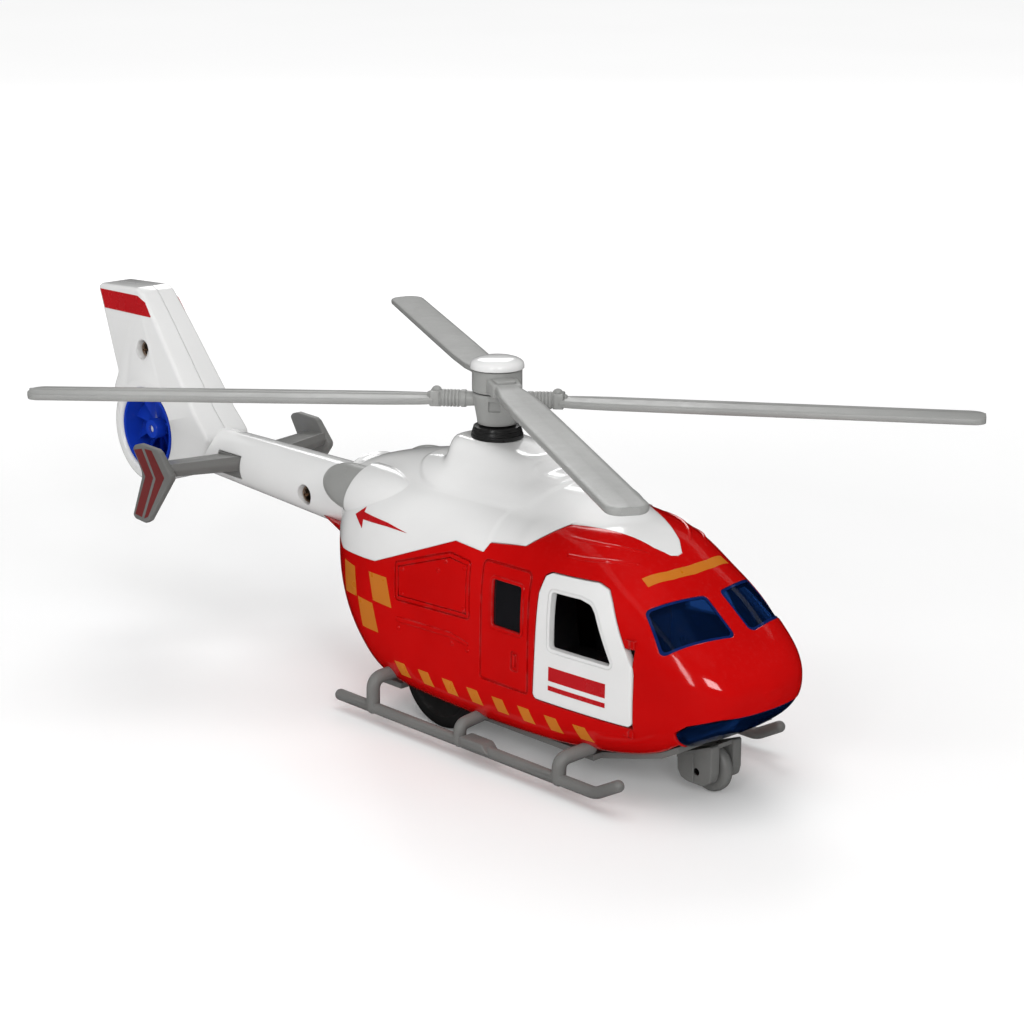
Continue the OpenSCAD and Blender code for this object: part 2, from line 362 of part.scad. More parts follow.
KNUCKLE = [[0, 3], [1.7, 3], [1.7, 8], [2.2, 8.9], [2.2, 10.4], [1.7, 11.1], [1.7, 11.6], [2.4, 11.6], [2.4, 12.7], [2, 12.7], [2, 13.3], [2.4, 13.3],
  [2.4, 14.4], [2, 14.4], [2, 15], [2.4, 15], [2.4, 16.1], [2, 16.1], [2, 16.7], [2.4, 16.7], [2.4, 17.8], [2, 17.8], [2, 19.4], [0, 19.4]];
module lower_blades() placed() color(grey) difference() {
  union() { translate([0, 0, 82.7]) cylinder(h = 8.6, r1 = 5.3, r2 = 6.7, $fn = 64);
    for (a = [low_dir, low_dir + 180]) rotate([0, 0, a]) translate([0, 0, 89.2]) { blade();
      rotate([0, 90, 0]) rotate_extrude($fn = 32) polygon(KNUCKLE); } }
  translate([0, 0, 80]) cylinder(h = 20, r = shaft_d / 2, $fn = 48);
}
module upper_blades() placed() color(grey) difference() {
  union() { translate([0, 0, 91.6]) cylinder(h = 5.9, r = 6.8, $fn = 64);
    for (a = [up_dir, up_dir + 180]) rotate([0, 0, a]) translate([0, 0, 94.3]) { translate([0, 0, 0.3]) rotate([0, 0, 0]) up_blade(); translate([4, -4.2, -2.2]) cube([8.6, 8.4, 3.8]); } }
  translate([0, 0, 80]) cylinder(h = 20, r = shaft_d / 2 + run, $fn = 48);
}
module up_blade() rotate([0, 0.75, 0]) translate([0, 0, -blade_t / 2]) { linear_extrude(blade_t) polygon(concat([[8, -3.2], [14, -3.4], [22, -4.8]], [for (i = [2:11]) BL[i]], [[22, 4.8], [14, 3.4], [8, 3.2]])); }
module rotor_cap() placed() color(white) difference() { translate([0, 0, 97.8]) rotate_extrude($fn = 64) polygon([[0, 0], [7.3, 0], [7.3, 1.3], [6.9, 2.1], [5.6, 2.7], [3.2, 3.1], [0, 3.2]]);
  translate([0, 0, 97]) cylinder(h = 1.3, r = shaft_d / 2, $fn = 48); translate([0, 0, 97]) cylinder(h = 3.1, r = 1, $fn = 32); }
module rotor_screw() placed() color(steel) translate([0, 0, 98.3]) cylinder(h = 1.7, r = 1, $fn = 32);

// ---- doors ----
module door(s) color(white) { resize([0, 0, 0]) difference() {
    intersection() { loft(ST, 0, 7.6, 11); door_cut(0, s);
      union() { translate([0, -60, 0]) cube([hx, 120, 100]); translate([hx, s * hy, 0]) cylinder(h = 100, r = door_r, $fn = 40); } }
    loft(ST, wall, 7.2, 11.4);
    scale([1, s, 1]) translate([0, 40, 0]) rotate([90, 0, 0]) linear_extrude(24) polygon(GLASS_D);
  }
  translate([hx, s * hy, 19.2]) cylinder(h = 24.5, r = 0.7, $fn = 32);
}
module door_left() placed() door(1);
module door_right() placed() door(-1);

cabin_shell();
top_cowl();
tail_boom_left();
tail_boom_right();
stabiliser();
tail_screws();
belly_plate();
battery_door();
battery_door_screw();
case_screws();
skid_left();
skid_right();
nose_gear_bracket();
nose_axle();
windscreen();
chin_window();
side_windows();
cabin_liner();
circuit_board();
switch();
speaker();
battery_cells();
battery_contacts();
button_spring();
exhaust_left();
mast_collar();
hinge_lugs();
rotor_shaft();
shaft_clip();
lower_blades();
rotor_cap();
rotor_screw();
upper_blades();
tail_fan();
main_axle();
main_wheel_left();
main_wheel_right();
nose_wheel();
door_left();
door_right();
sound_button();
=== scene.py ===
import bpy, bmesh
import numpy as np
from math import sin, cos, pi, radians, atan2, sqrt, acos, floor, ceil, degrees
from mathutils import Vector, Matrix


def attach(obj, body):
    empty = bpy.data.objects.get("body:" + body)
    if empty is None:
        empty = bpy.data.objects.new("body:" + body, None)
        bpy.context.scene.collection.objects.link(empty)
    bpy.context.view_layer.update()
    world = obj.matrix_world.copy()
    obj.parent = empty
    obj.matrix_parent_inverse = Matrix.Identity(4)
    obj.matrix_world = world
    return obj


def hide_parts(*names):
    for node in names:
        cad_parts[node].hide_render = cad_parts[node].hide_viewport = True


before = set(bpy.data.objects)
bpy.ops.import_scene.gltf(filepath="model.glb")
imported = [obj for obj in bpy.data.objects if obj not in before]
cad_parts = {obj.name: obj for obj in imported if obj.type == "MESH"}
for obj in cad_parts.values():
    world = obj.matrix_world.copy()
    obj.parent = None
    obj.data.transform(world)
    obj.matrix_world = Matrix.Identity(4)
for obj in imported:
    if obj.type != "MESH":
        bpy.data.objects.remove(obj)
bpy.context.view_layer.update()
SC = bpy.context.scene
CX = -32.9                      # the drawing is laid out from the mast axis in millimetres; the row origin is at x = CX
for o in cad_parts.values():
    o.data.materials.clear()

# ------------------------------------------------------------------ camera, light, floor
D0, AZ, EL = 659.6, radians(46.65), radians(15.58)
PIV = Vector((5.8 - CX, 0, 58.8))
BACK = Vector((sin(AZ) * cos(EL), -cos(AZ) * cos(EL), sin(EL)))
cam_d = bpy.data.cameras.new("cam"); cam = bpy.data.objects.new("cam", cam_d)
SC.collection.objects.link(cam)
cam.location = (PIV + BACK * D0) * 0.001
cam.rotation_euler = (-BACK).to_track_quat('-Z', 'Y').to_euler()
cam_d.sensor_width = 36; cam_d.lens = 2436.1 / 1024 * 36
cam_d.clip_start = 0.01; cam_d.clip_end = 20
SC.camera = cam
SC.view_settings.view_transform = 'Standard'

def nodes_of(mat):
    mat.use_nodes = True
    nt = mat.node_tree; nt.nodes.clear()
    return nt, nt.nodes, nt.links
def area(name, loc, target, sx, sy, power, col=(1, 1, 1)):
    d = bpy.data.lights.new(name, 'AREA'); d.shape = 'RECTANGLE'; d.size = sx; d.size_y = sy; d.energy = power; d.color = col
    o = bpy.data.objects.new(name, d); SC.collection.objects.link(o)
    o.location = loc; o.rotation_euler = (Vector(target) - Vector(loc)).to_track_quat('-Z', 'Y').to_euler()
    return o
C0 = (0.03, 0, 0.05)
kt = area("key_top", (0.25, -0.15, 1.25), C0, 1.1, 1.1, 8.0); kt.visible_glossy = False
area("soft_front", (1.05, -0.62, 0.62), C0, 0.30, 0.40, 3.6)
ss = area("soft_side", (0.25, -1.25, 0.75), C0, 1.3, 0.7, 2.7); ss.visible_glossy = False
area("strip_side", (0.55, -1.15, 0.55), C0, 0.14, 0.85, 2.3)
area("soft_back", (-0.9, 0.8, 0.9), C0, 0.6, 0.6, 4.6)
w = bpy.data.worlds.new("studio"); SC.world = w; w.use_nodes = True
wn, wl = w.node_tree.nodes, w.node_tree.links
wn["Background"].inputs["Strength"].default_value = 0.40
wn["Background"].inputs["Color"].default_value = (1, 1, 1, 1)
w.cycles_visibility.glossy = False

# ------------------------------------------------------------------ materials
def M(nt, op, a, b=None, c=None):
    n = nt.nodes.new("ShaderNodeMath"); n.operation = op
    for i, v in enumerate((a, b, c)):
        if v is None: continue
        if isinstance(v, (int, float)): n.inputs[i].default_value = v
        else: nt.links.new(v, n.inputs[i])
    return n.outputs[0]
def noise(nt, co, scale, detail=3, rough=0.5, stretch=None):
    n = nt.nodes.new("ShaderNodeTexNoise"); n.inputs["Scale"].default_value = scale; n.inputs["Detail"].default_value = detail; n.inputs["Roughness"].default_value = rough
    if stretch:
        m = nt.nodes.new("ShaderNodeMapping"); m.inputs["Scale"].default_value = stretch; nt.links.new(co, m.inputs["Vector"]); co = m.outputs[0]
    nt.links.new(co, n.inputs["Vector"])
    return n.outputs["Fac"]
def ramp(nt, v, a, b, lo=0.0, hi=1.0):
    n = nt.nodes.new("ShaderNodeMapRange"); n.inputs["From Min"].default_value = a; n.inputs["From Max"].default_value = b
    n.inputs["To Min"].default_value = lo; n.inputs["To Max"].default_value = hi; nt.links.new(v, n.inputs["Value"])
    return n.outputs["Result"]
def mix(nt, f, a, b):
    n = nt.nodes.new("ShaderNodeMix"); n.data_type = 'RGBA'
    nt.links.new(f, n.inputs["Factor"])
    for k, v in (("A", a), ("B", b)):
        s = [i for i in n.inputs if i.name == k and i.type == 'RGBA'][0]
        if isinstance(v, tuple): s.default_value = (*v, 1)
        else: nt.links.new(v, s)
    return [o for o in n.outputs if o.type == 'RGBA'][0]
MAT = {}
def plastic(name, col, rough=0.22, coat=0.0, ripple=0.0, grain=0.0, gscale=1500, tone=0.05, wear=0.25, dust=0.04, bevel=0.0003, metal=0.0, spec=0.5, sss=0.0, scratch=0.3, flake=0.0):
    mat = bpy.data.materials.new(name); nt, N, L = nodes_of(mat)
    out = N.new("ShaderNodeOutputMaterial"); p = N.new("ShaderNodeBsdfPrincipled"); L.new(p.outputs[0], out.inputs[0])
    tc = N.new("ShaderNodeTexCoord"); co = tc.outputs["Object"]
    big = noise(nt, co, 34, 4); fine = noise(nt, co, gscale, 2); mid = noise(nt, co, 240, 4, 0.6)
    dark = tuple(c * (1 - tone * 1.6) for c in col); light = tuple(min(1, c * (1 + tone) + tone * 0.02) for c in col)
    c1 = mix(nt, ramp(nt, big, 0.3, 0.7), dark, light)
    if flake:                                    # faint metallic specks moulded into the grey parts
        v = N.new("ShaderNodeTexVoronoi"); v.inputs["Scale"].default_value = 2600; L.new(co, v.inputs["Vector"])
        c1 = mix(nt, ramp(nt, v.outputs["Distance"], 0.25, 0.05, 0, flake), c1, tuple(min(1, c * 1.7) for c in col))
    # rubbed edges: where the rounded normal leaves the flat one, the surface is a little paler and duller
    bv = N.new("ShaderNodeBevel"); bv.samples = 4; bv.inputs["Radius"].default_value = bevel
    g = N.new("ShaderNodeNewGeometry")
    dt = N.new("ShaderNodeVectorMath"); dt.operation = 'DOT_PRODUCT'; L.new(bv.outputs[0], dt.inputs[0]); L.new(g.outputs["Normal"], dt.inputs[1])
    edge = ramp(nt, dt.outputs["Value"], 0.985, 0.82)
    edge = M(nt, 'MULTIPLY', edge, ramp(nt, mid, 0.42, 0.62))
    c2 = mix(nt, M(nt, 'MULTIPLY', edge, wear * 0.5), c1, tuple(c * 0.55 + 0.32 for c in col))
    # dust that settles on upward faces
    sep = N.new("ShaderNodeSeparateXYZ"); L.new(g.outputs["Normal"], sep.inputs[0])
    up = M(nt, 'MULTIPLY', ramp(nt, sep.outputs[2], 0.3, 1.0), ramp(nt, noise(nt, co, 900, 5, 0.7), 0.52, 0.72))
    c3 = mix(nt, M(nt, 'MULTIPLY', up, dust), c2, (0.62, 0.60, 0.57))
    L.new(c3, p.inputs["Base Color"])
    # hairline scratches run mostly along the toy
    s1 = ramp(nt, noise(nt, co, 420, 2, 0.5, (0.16, 1.0, 2.2)), 0.60, 0.68)
    s2 = ramp(nt, noise(nt, co, 360, 2, 0.5, (1.6, 1.0, 0.14)), 0.62, 0.70)
    sc = M(nt, 'MULTIPLY', M(nt, 'MAXIMUM', s1, s2), scratch)
    r = M(nt, 'ADD', ramp(nt, mid, 0.3, 0.7, rough * 0.85, rough * 1.2), M(nt, 'MULTIPLY', sc, 0.05))
    r = M(nt, 'ADD', r, M(nt, 'MULTIPLY', edge, 0.12 * wear)); r = M(nt, 'ADD', r, M(nt, 'MULTIPLY', up, 0.10))
    L.new(r, p.inputs["Roughness"])
    h = M(nt, 'ADD', M(nt, 'MULTIPLY', noise(nt, co, 70, 2), ripple), M(nt, 'MULTIPLY', fine, grain))
    h = M(nt, 'SUBTRACT', h, M(nt, 'MULTIPLY', sc, 0.0000012))
    b = N.new("ShaderNodeBump"); b.inputs["Strength"].default_value = 1.0; b.inputs["Distance"].default_value = 1.0
    L.new(h, b.inputs["Height"]); L.new(bv.outputs[0], b.inputs["Normal"]); L.new(b.outputs[0], p.inputs["Normal"])
    p.inputs["Metallic"].default_value = metal; p.inputs["Specular IOR Level"].default_value = spec
    if coat: p.inputs["Coat Weight"].default_value = coat; p.inputs["Coat Roughness"].default_value = 0.04
    if sss: p.inputs["Subsurface Weight"].default_value = sss; p.inputs["Subsurface Radius"].default_value = (0.002, 0.002, 0.002); p.inputs["Subsurface Scale"].default_value = 1.0
    MAT[name] = mat
    return mat
def glass(name, col, rough=0.03, trans=0.9, ior=1.46):
    mat = bpy.data.materials.new(name); nt, N, L = nodes_of(mat)
    out = N.new("ShaderNodeOutputMaterial"); p = N.new("ShaderNodeBsdfPrincipled"); L.new(p.outputs[0], out.inputs[0])
    tc = N.new("ShaderNodeTexCoord"); co = tc.outputs["Object"]
    L.new(mix(nt, ramp(nt, noise(nt, co, 60, 3), 0.3, 0.7), tuple(c * 0.86 for c in col), col), p.inputs["Base Color"])
    sm = ramp(nt, noise(nt, co, 500, 5, 0.65), 0.5, 0.75)
    L.new(M(nt, 'ADD', M(nt, 'MULTIPLY', sm, 0.09), rough), p.inputs["Roughness"])
    b = N.new("ShaderNodeBump"); b.inputs["Distance"].default_value = 1.0; L.new(M(nt, 'MULTIPLY', noise(nt, co, 90, 2), 0.00003), b.inputs["Height"]); L.new(b.outputs[0], p.inputs["Normal"])
    p.inputs["Transmission Weight"].default_value = trans; p.inputs["IOR"].default_value = ior
    MAT[name] = mat
    return mat
plastic("red_gloss", (0.50, 0.0025, 0.0025), rough=0.10, coat=0.30, ripple=0.00006, grain=0.0000006, tone=0.06, wear=0.30, dust=0.015, bevel=0.0004, spec=0.42)
plastic("white_gloss", (0.74, 0.74, 0.735), rough=0.16, coat=0.35, ripple=0.00005, grain=0.0000006, tone=0.02, wear=0.15, dust=0.05, bevel=0.0005, sss=0.05)
plastic("grey_plastic", (0.300, 0.302, 0.293), rough=0.36, ripple=0.00004, grain=0.000004, tone=0.07, wear=0.6, dust=0.05, bevel=0.0004, spec=0.45, flake=0.35)
plastic("grey_dark", (0.160, 0.160, 0.154), rough=0.40, ripple=0.00004, grain=0.000006, tone=0.08, wear=0.6, dust=0.05, bevel=0.0003, spec=0.45, flake=0.3)
plastic("black_plastic", (0.012, 0.012, 0.012), rough=0.30, ripple=0.00003, grain=0.000004, tone=0.2, wear=0.3, bevel=0.0003)
plastic("tyre_black", (0.006, 0.006, 0.006), rough=0.60, grain=0.00002, gscale=2200, tone=0.25, wear=0.2, dust=0.10, bevel=0.0003, spec=0.3)
plastic("steel", (0.60, 0.59, 0.57), rough=0.24, grain=0.000003, tone=0.1, wear=0.3, metal=1.0, bevel=0.0001)
plastic("screw_zinc", (0.36, 0.25, 0.17), rough=0.34, grain=0.000003, tone=0.2, wear=0.2, metal=1.0, bevel=0.0001)
plastic("board_green", (0.01, 0.10, 0.03), rough=0.35, grain=0.00001, tone=0.2)
plastic("print_red", (0.44, 0.006, 0.010), rough=0.26, grain=0.000003, tone=0.05, wear=0.15, dust=0.02, bevel=0.00004, spec=0.28)
plastic("print_orange", (0.52, 0.155, 0.010), rough=0.30, grain=0.000004, tone=0.08, wear=0.2, dust=0.02, bevel=0.00004, spec=0.30)
plastic("print_dull_red", (0.17, 0.022, 0.022), rough=0.42, grain=0.000006, tone=0.12, wear=0.6, bevel=0.00004)
plastic("liner", (0.006, 0.006, 0.007), rough=0.55, grain=0.00003, gscale=900, tone=0.3, dust=0.02)
glass("blue_clear", (0.010, 0.045, 0.18))
glass("blue_rim", (0.008, 0.026, 0.145), rough=0.08, trans=0.30)
glass("fan_blue", (0.012, 0.065, 0.62), rough=0.14, trans=0.35)
glass("smoke_clear", (0.012, 0.012, 0.014), rough=0.05, trans=0.25)

fl = bpy.data.materials.new("pale_floor"); nt, N, L = nodes_of(fl)
out = N.new("ShaderNodeOutputMaterial"); p = N.new("ShaderNodeBsdfPrincipled"); L.new(p.outputs[0], out.inputs[0])
tc = N.new("ShaderNodeTexCoord")
L.new(mix(nt, ramp(nt, noise(nt, tc.outputs["Object"], 3, 4), 0.3, 0.7), (0.86, 0.86, 0.86), (0.90, 0.90, 0.90)), p.inputs["Base Color"]); p.inputs["Roughness"].default_value = 0.7
# painted light: the floor glows faintly beside the toy and more strongly further out, a painted brightening of the far
# floor that also lights the toy from below
ln = N.new("ShaderNodeVectorMath"); ln.operation = 'LENGTH'; L.new(tc.outputs["Object"], ln.inputs[0]); L.new(ramp(nt, ln.outputs["Value"], 0.25, 1.1, 0.10, 0.62), p.inputs["Emission Strength"]); p.inputs["Emission Color"].default_value = (1, 1, 1, 1)
fm = bpy.data.meshes.new("floor"); fm.from_pydata([(-6, -6, 0), (6, -6, 0), (6, 6, 0), (-6, 6, 0)], [], [(0, 1, 2, 3)])
floor_o = bpy.data.objects.new("floor", fm); SC.collection.objects.link(floor_o); fm.materials.append(fl); floor_o.location.z = -0.0004
floor_o.visible_glossy = False

# ------------------------------------------------------------------ solids, in the drawing's millimetres
def solid(V, F, fix=True):
    me = bpy.data.meshes.new("s"); me.from_pydata([tuple(map(float, v)) for v in V], [], [tuple(int(i) for i in f) for f in F])
    if fix:
        b = bmesh.new(); b.from_mesh(me); bmesh.ops.remove_doubles(b, verts=b.verts, dist=1e-6); bmesh.ops.recalc_face_normals(b, faces=b.faces); b.to_mesh(me); b.free()
    me.update(); o = bpy.data.objects.new("s", me); SC.collection.objects.link(o)
    return o
def csg(base, *ops):
    for op, o in ops:
        m = base.modifiers.new("b", 'BOOLEAN'); m.operation = {'-': 'DIFFERENCE', '+': 'UNION', '*': 'INTERSECT'}[op]; m.object = o; m.solver = 'MANIFOLD'
    dg = bpy.context.evaluated_depsgraph_get(); dg.update()
    me = bpy.data.meshes.new_from_object(base.evaluated_get(dg)); base.modifiers.clear(); old = base.data; base.data = me; bpy.data.meshes.remove(old)
    for o in {o for _, o in ops}: bpy.data.objects.remove(o)
    return base
def union(L): return L[0] if len(L) == 1 else csg(L[0], *[('+', o) for o in L[1:]])
def copy(o):
    c = o.copy(); c.data = o.data.copy(); SC.collection.objects.link(c); return c
def mod(o, kind, **kw):
    m = o.modifiers.new("m", kind)
    for k, v in kw.items(): setattr(m, k, v)
    dg = bpy.context.evaluated_depsgraph_get(); dg.update()
    me = bpy.data.meshes.new_from_object(o.evaluated_get(dg)); o.modifiers.clear(); old = o.data; o.data = me; bpy.data.meshes.remove(old)
    return o
def bevelled(o, w, seg=3, ang=30):
    b = bmesh.new(); b.from_mesh(o.data); bmesh.ops.dissolve_limit(b, angle_limit=radians(0.5), verts=b.verts, edges=b.edges); b.to_mesh(o.data); b.free()
    return mod(o, 'BEVEL', width=w, segments=seg, limit_method='ANGLE', angle_limit=radians(ang), use_clamp_overlap=True)
def rings_solid(R, cap=True):
    R = [np.asarray(r, float) for r in R]; m = len(R[0]); n = len(R); V = np.concatenate(R); F = []
    for i in range(n - 1):
        for j in range(m):
            F.append((i * m + j, i * m + (j + 1) % m, (i + 1) * m + (j + 1) % m, (i + 1) * m + j))
    V = np.concatenate([V, [R[0].mean(0), R[-1].mean(0)]]); a, b = n * m, n * m + 1
    for j in range(m):
        F.append((a, (j + 1) % m, j)); F.append((b, (n - 1) * m + j, (n - 1) * m + (j + 1) % m))
    return solid(V, F)
def fillet(P, r, n=6):
    P = [np.array(p, float) for p in P]; out = []
    rr = r if hasattr(r, '__len__') else [r] * len(P)
    for i, p in enumerate(P):
        a, b = P[i - 1], P[(i + 1) % len(P)]; u = (a - p) / np.linalg.norm(a - p); v = (b - p) / np.linalg.norm(b - p)
        c = np.clip(u @ v, -1, 1); th = acos(c)
        if rr[i] <= 0 or th > radians(176): out.append(p); continue
        d = min(rr[i] / np.tan(th / 2), 0.47 * np.linalg.norm(a - p), 0.47 * np.linalg.norm(b - p)); r2 = d * np.tan(th / 2)
        bis = (u + v) / np.linalg.norm(u + v); cc = p + bis * r2 / sin(th / 2); s, e = p + u * d, p + v * d
        a0 = atan2(*(s - cc)[::-1]); a1 = atan2(*(e - cc)[::-1]); da = (a1 - a0 + pi) % (2 * pi) - pi
        for k in range(n + 1): t = a0 + da * k / n; out.append(cc + r2 * np.array([cos(t), sin(t)]))
    return [tuple(p) for p in out]
def inset(P, d):
    """outline moved outwards by d (inwards when negative), with mitred corners"""
    P = [np.array(p, float) for p in P]; A = sum(P[i][0] * P[(i + 1) % len(P)][1] - P[(i + 1) % len(P)][0] * P[i][1] for i in range(len(P))); s = 1 if A > 0 else -1; out = []
    for i, p in enumerate(P):
        e1 = p - P[i - 1]; e2 = P[(i + 1) % len(P)] - p; l1, l2 = np.linalg.norm(e1), np.linalg.norm(e2)
        n1 = np.array([e1[1], -e1[0]]) / l1 * s; n2 = np.array([e2[1], -e2[0]]) / l2 * s
        out.append(tuple(p + (n1 + n2) * d / max(0.35, 1 + n1 @ n2)))
    return out
def prism(P, a, b, ax='y'):
    """outline in (x,z) pushed along y, or in (x,y) pushed along z, or in (y,z) pushed along x"""
    f = {'y': lambda p, t: (p[0], t, p[1]), 'z': lambda p, t: (p[0], p[1], t), 'x': lambda p, t: (t, p[0], p[1])}[ax]
    n = len(P); V = [f(p, a) for p in P] + [f(p, b) for p in P]
    return solid(V, [tuple(range(n)), tuple(range(2 * n - 1, n - 1, -1))] + [(i, (i + 1) % n, n + (i + 1) % n, n + i) for i in range(n)])
def ringprism(P, d0, d1, a, b):
    """frame between the outline grown by d0 and by d1, pushed along y"""
    A, B = inset(P, d0), inset(P, d1); n = len(P); V = [(p[0], t, p[1]) for t in (a, b) for Q in (A, B) for p in Q]; F = []
    for i in range(n):
        j = (i + 1) % n
        F += [(i, j, n + j, n + i), (2 * n + i, 3 * n + i, 3 * n + j, 2 * n + j), (i, 2 * n + i, 2 * n + j, j), (n + i, n + j, 3 * n + j, 3 * n + i)]
    return solid(V, F)
def box(lo, hi, r=0, seg=3):
    o = prism([(lo[0], lo[1]), (hi[0], lo[1]), (hi[0], hi[1]), (lo[0], hi[1])], lo[2], hi[2], 'z')
    return bevelled(o, r, seg) if r else o
def frame3(d):
    d = np.array(d, float); d /= np.linalg.norm(d); h = np.array([0, 0, 1.0]) if abs(d[2]) < 0.9 else np.array([1.0, 0, 0]); u = np.cross(h, d); u /= np.linalg.norm(u); return u, np.cross(d, u), d
def rev(prof, p=(0, 0, 0), d=(0, 0, 1), n=64):
    """profile of (radius, distance along d) points turned about the axis through p"""
    u, v, w_ = frame3(d); p = np.array(p, float); R = []
    for r, h in prof: R.append([p + w_ * h + r * (cos(2 * pi * k / n) * u + sin(2 * pi * k / n) * v) for k in range(n)])
    return rings_solid(R)
def revring(prof, p=(0, 0, 0), d=(0, 0, 1), n=64):
    """closed profile turned about the axis, with a hole in the middle"""
    u, v, w_ = frame3(d); p = np.array(p, float); m = len(prof); V = []; F = []
    for k in range(n):
        e = cos(2 * pi * k / n) * u + sin(2 * pi * k / n) * v
        V += [p + w_ * h + r * e for r, h in prof]
    for k in range(n):
        for j in range(m): F.append((k * m + j, k * m + (j + 1) % m, ((k + 1) % n) * m + (j + 1) % m, ((k + 1) % n) * m + j))
    return solid(V, F)
def cyl(p, q, r, r2=None, n=48):
    p, q = np.array(p, float), np.array(q, float); l = np.linalg.norm(q - p); return rev([(r, 0), (r if r2 is None else r2, l)], p, q - p, n)
def ellip(c, r, n=48, m=24):
    R = []
    for i in range(m + 1):
        t = -pi / 2 + pi * min(max(i, 0.12), m - 0.12) / m; R.append([(c[0] + r[0] * sin(t), c[1] + r[1] * cos(t) * cos(2 * pi * k / n), c[2] + r[2] * cos(t) * sin(2 * pi * k / n)) for k in range(n)])
    return rings_solid(R)
def bend(P, r, n=7):
    """open path with rounded corners"""
    P = [np.array(p, float) for p in P]; out = [P[0]]
    for i in range(1, len(P) - 1):
        p, a, b = P[i], P[i - 1], P[i + 1]; u = (a - p) / np.linalg.norm(a - p); v = (b - p) / np.linalg.norm(b - p); th = acos(np.clip(u @ v, -1, 1))
        if th > radians(177): out.append(p); continue
        d = min(r / np.tan(th / 2), 0.48 * np.linalg.norm(a - p), 0.48 * np.linalg.norm(b - p)); s, e = p + u * d, p + v * d
        for k in range(n + 1): t = k / n; out.append((1 - t) ** 2 * s + 2 * t * (1 - t) * p + t * t * e)
    return out + [P[-1]]
def tube(path, r, n=24, round_a=True, round_b=True, flat=None):
    path = [np.array(p, float) for p in path]; rad = list(r) if hasattr(r, '__len__') else [r] * len(path); T = []
    for i in range(len(path)): t = path[min(i + 1, len(path) - 1)] - path[max(i - 1, 0)]; T.append(t / np.linalg.norm(t))
    u = frame3(T[0])[0]; R = []
    def ring_(c, t, u, rr): v = np.cross(t, u); return [c + rr * (cos(2 * pi * k / n) * u + sin(2 * pi * k / n) * v) for k in range(n)]
    seg = []
    for i, c in enumerate(path):
        u = u - T[i] * (u @ T[i]); u /= np.linalg.norm(u); seg.append((c, T[i], u, rad[i]))
    if round_a:
        c, t, u_, rr = seg[0]
        for a in (88, 70, 50, 30, 12): R.append(ring_(c - t * rr * sin(radians(a)), t, u_, rr * cos(radians(a))))
    for s in seg: R.append(ring_(*s))
    if round_b:
        c, t, u_, rr = seg[-1]
        for a in (12, 30, 50, 70, 88): R.append(ring_(c + t * rr * sin(radians(a)), t, u_, rr * cos(radians(a))))
    return rings_solid(R)
def hull(P):
    me = bpy.data.meshes.new("h"); b = bmesh.new()
    for p in P: b.verts.new(tuple(map(float, p)))
    r = bmesh.ops.convex_hull(b, input=b.verts); bmesh.ops.delete(b, geom=[v for v in b.verts if not v.link_faces], context='VERTS'); bmesh.ops.recalc_face_normals(b, faces=b.faces)
    b.to_mesh(me); b.free(); o = bpy.data.objects.new("h", me); SC.collection.objects.link(o); return o

# ------------------------------------------------------------------ finishing a piece
def done(o, name, mat, body, ang=33, fields=(), tol=0.9, near=16, replaces=()):
    me = o.data; me.transform(Matrix.Scale(0.001, 4) @ Matrix.Translation((-CX, 0, 0)))
    for q in list(me.attributes):
        if q.name == "custom_normal": me.attributes.remove(q)
    b = bmesh.new(); b.from_mesh(me)
    bmesh.ops.remove_doubles(b, verts=b.verts, dist=2e-7)
    for f in b.faces: f.smooth = True; f.material_index = 0
    for e in b.edges: e.smooth = len(e.link_faces) == 2 and e.calc_face_angle(0) < radians(ang)
    b.to_mesh(me); b.free(); me.update()
    if fields:
        n = len(me.loops); Nn = np.zeros(n * 3, np.float32); me.corner_normals.foreach_get("vector", Nn); Nn = Nn.reshape(-1, 3).astype(float)
        vi = np.zeros(n, np.int32); me.loops.foreach_get("vertex_index", vi); cv = np.zeros(len(me.vertices) * 3, np.float32); me.vertices.foreach_get("co", cv)
        Pm = cv.reshape(-1, 3).astype(float)[vi] * 1000 + np.array([CX, 0, 0])
        ls = np.zeros(len(me.polygons), np.int32); me.polygons.foreach_get("loop_total", ls); fnv = np.zeros(len(me.polygons) * 3, np.float32); me.polygons.foreach_get("normal", fnv)
        fn = np.repeat(fnv.reshape(-1, 3).astype(float), ls, 0)
        for f in fields:
            d, nn = f(Pm); dot = (nn * fn).sum(1); use = (np.abs(d) < tol) & (np.abs(dot) > cos(radians(near)))
            Nn[use] = nn[use] * np.sign(dot[use])[:, None]
        Nn /= np.maximum(np.linalg.norm(Nn, axis=1), 1e-9)[:, None]
        me.normals_split_custom_set(Nn.tolist())
    me.materials.clear(); me.materials.append(MAT[mat]); me.name = name; o.name = name
    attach(o, body)
    if replaces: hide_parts(*replaces)
    return o

# ------------------------------------------------------------------ lofted body
ST = np.array([[-53, 2, 41, 50, 45.5, 2, 2], [-52, 9, 35, 56, 45, 2.1, 2], [-48, 16, 25, 61, 43, 2.4, 2.2], [-41, 21.5, 17, 64.5, 40, 2.8, 2.6], [-32, 24.8, 11, 66.5, 37, 3, 3.2], [-20, 26.5, 8, 66.5, 35, 3.2, 4.5],
    [0, 26.5, 7.5, 67, 33, 3.5, 6], [22, 26.5, 7.5, 67, 33, 3.6, 6.5], [44, 26.5, 8, 66.5, 33, 3.5, 6], [58, 26, 8.8, 64.3, 33, 3.1, 5], [69, 25.2, 10.3, 58.6, 33, 2.9, 4.5], [78.5, 23.7, 12.8, 52.8, 32, 2.9, 4],
    [87, 21.4, 16.6, 46.4, 32, 2.8, 3.2], [93.5, 17.8, 20.6, 41.2, 32, 2.6, 2.8], [98.3, 12, 24.6, 36.8, 31.5, 2.3, 2.4], [100.3, 2, 29.5, 32.5, 31, 2, 2]], float)
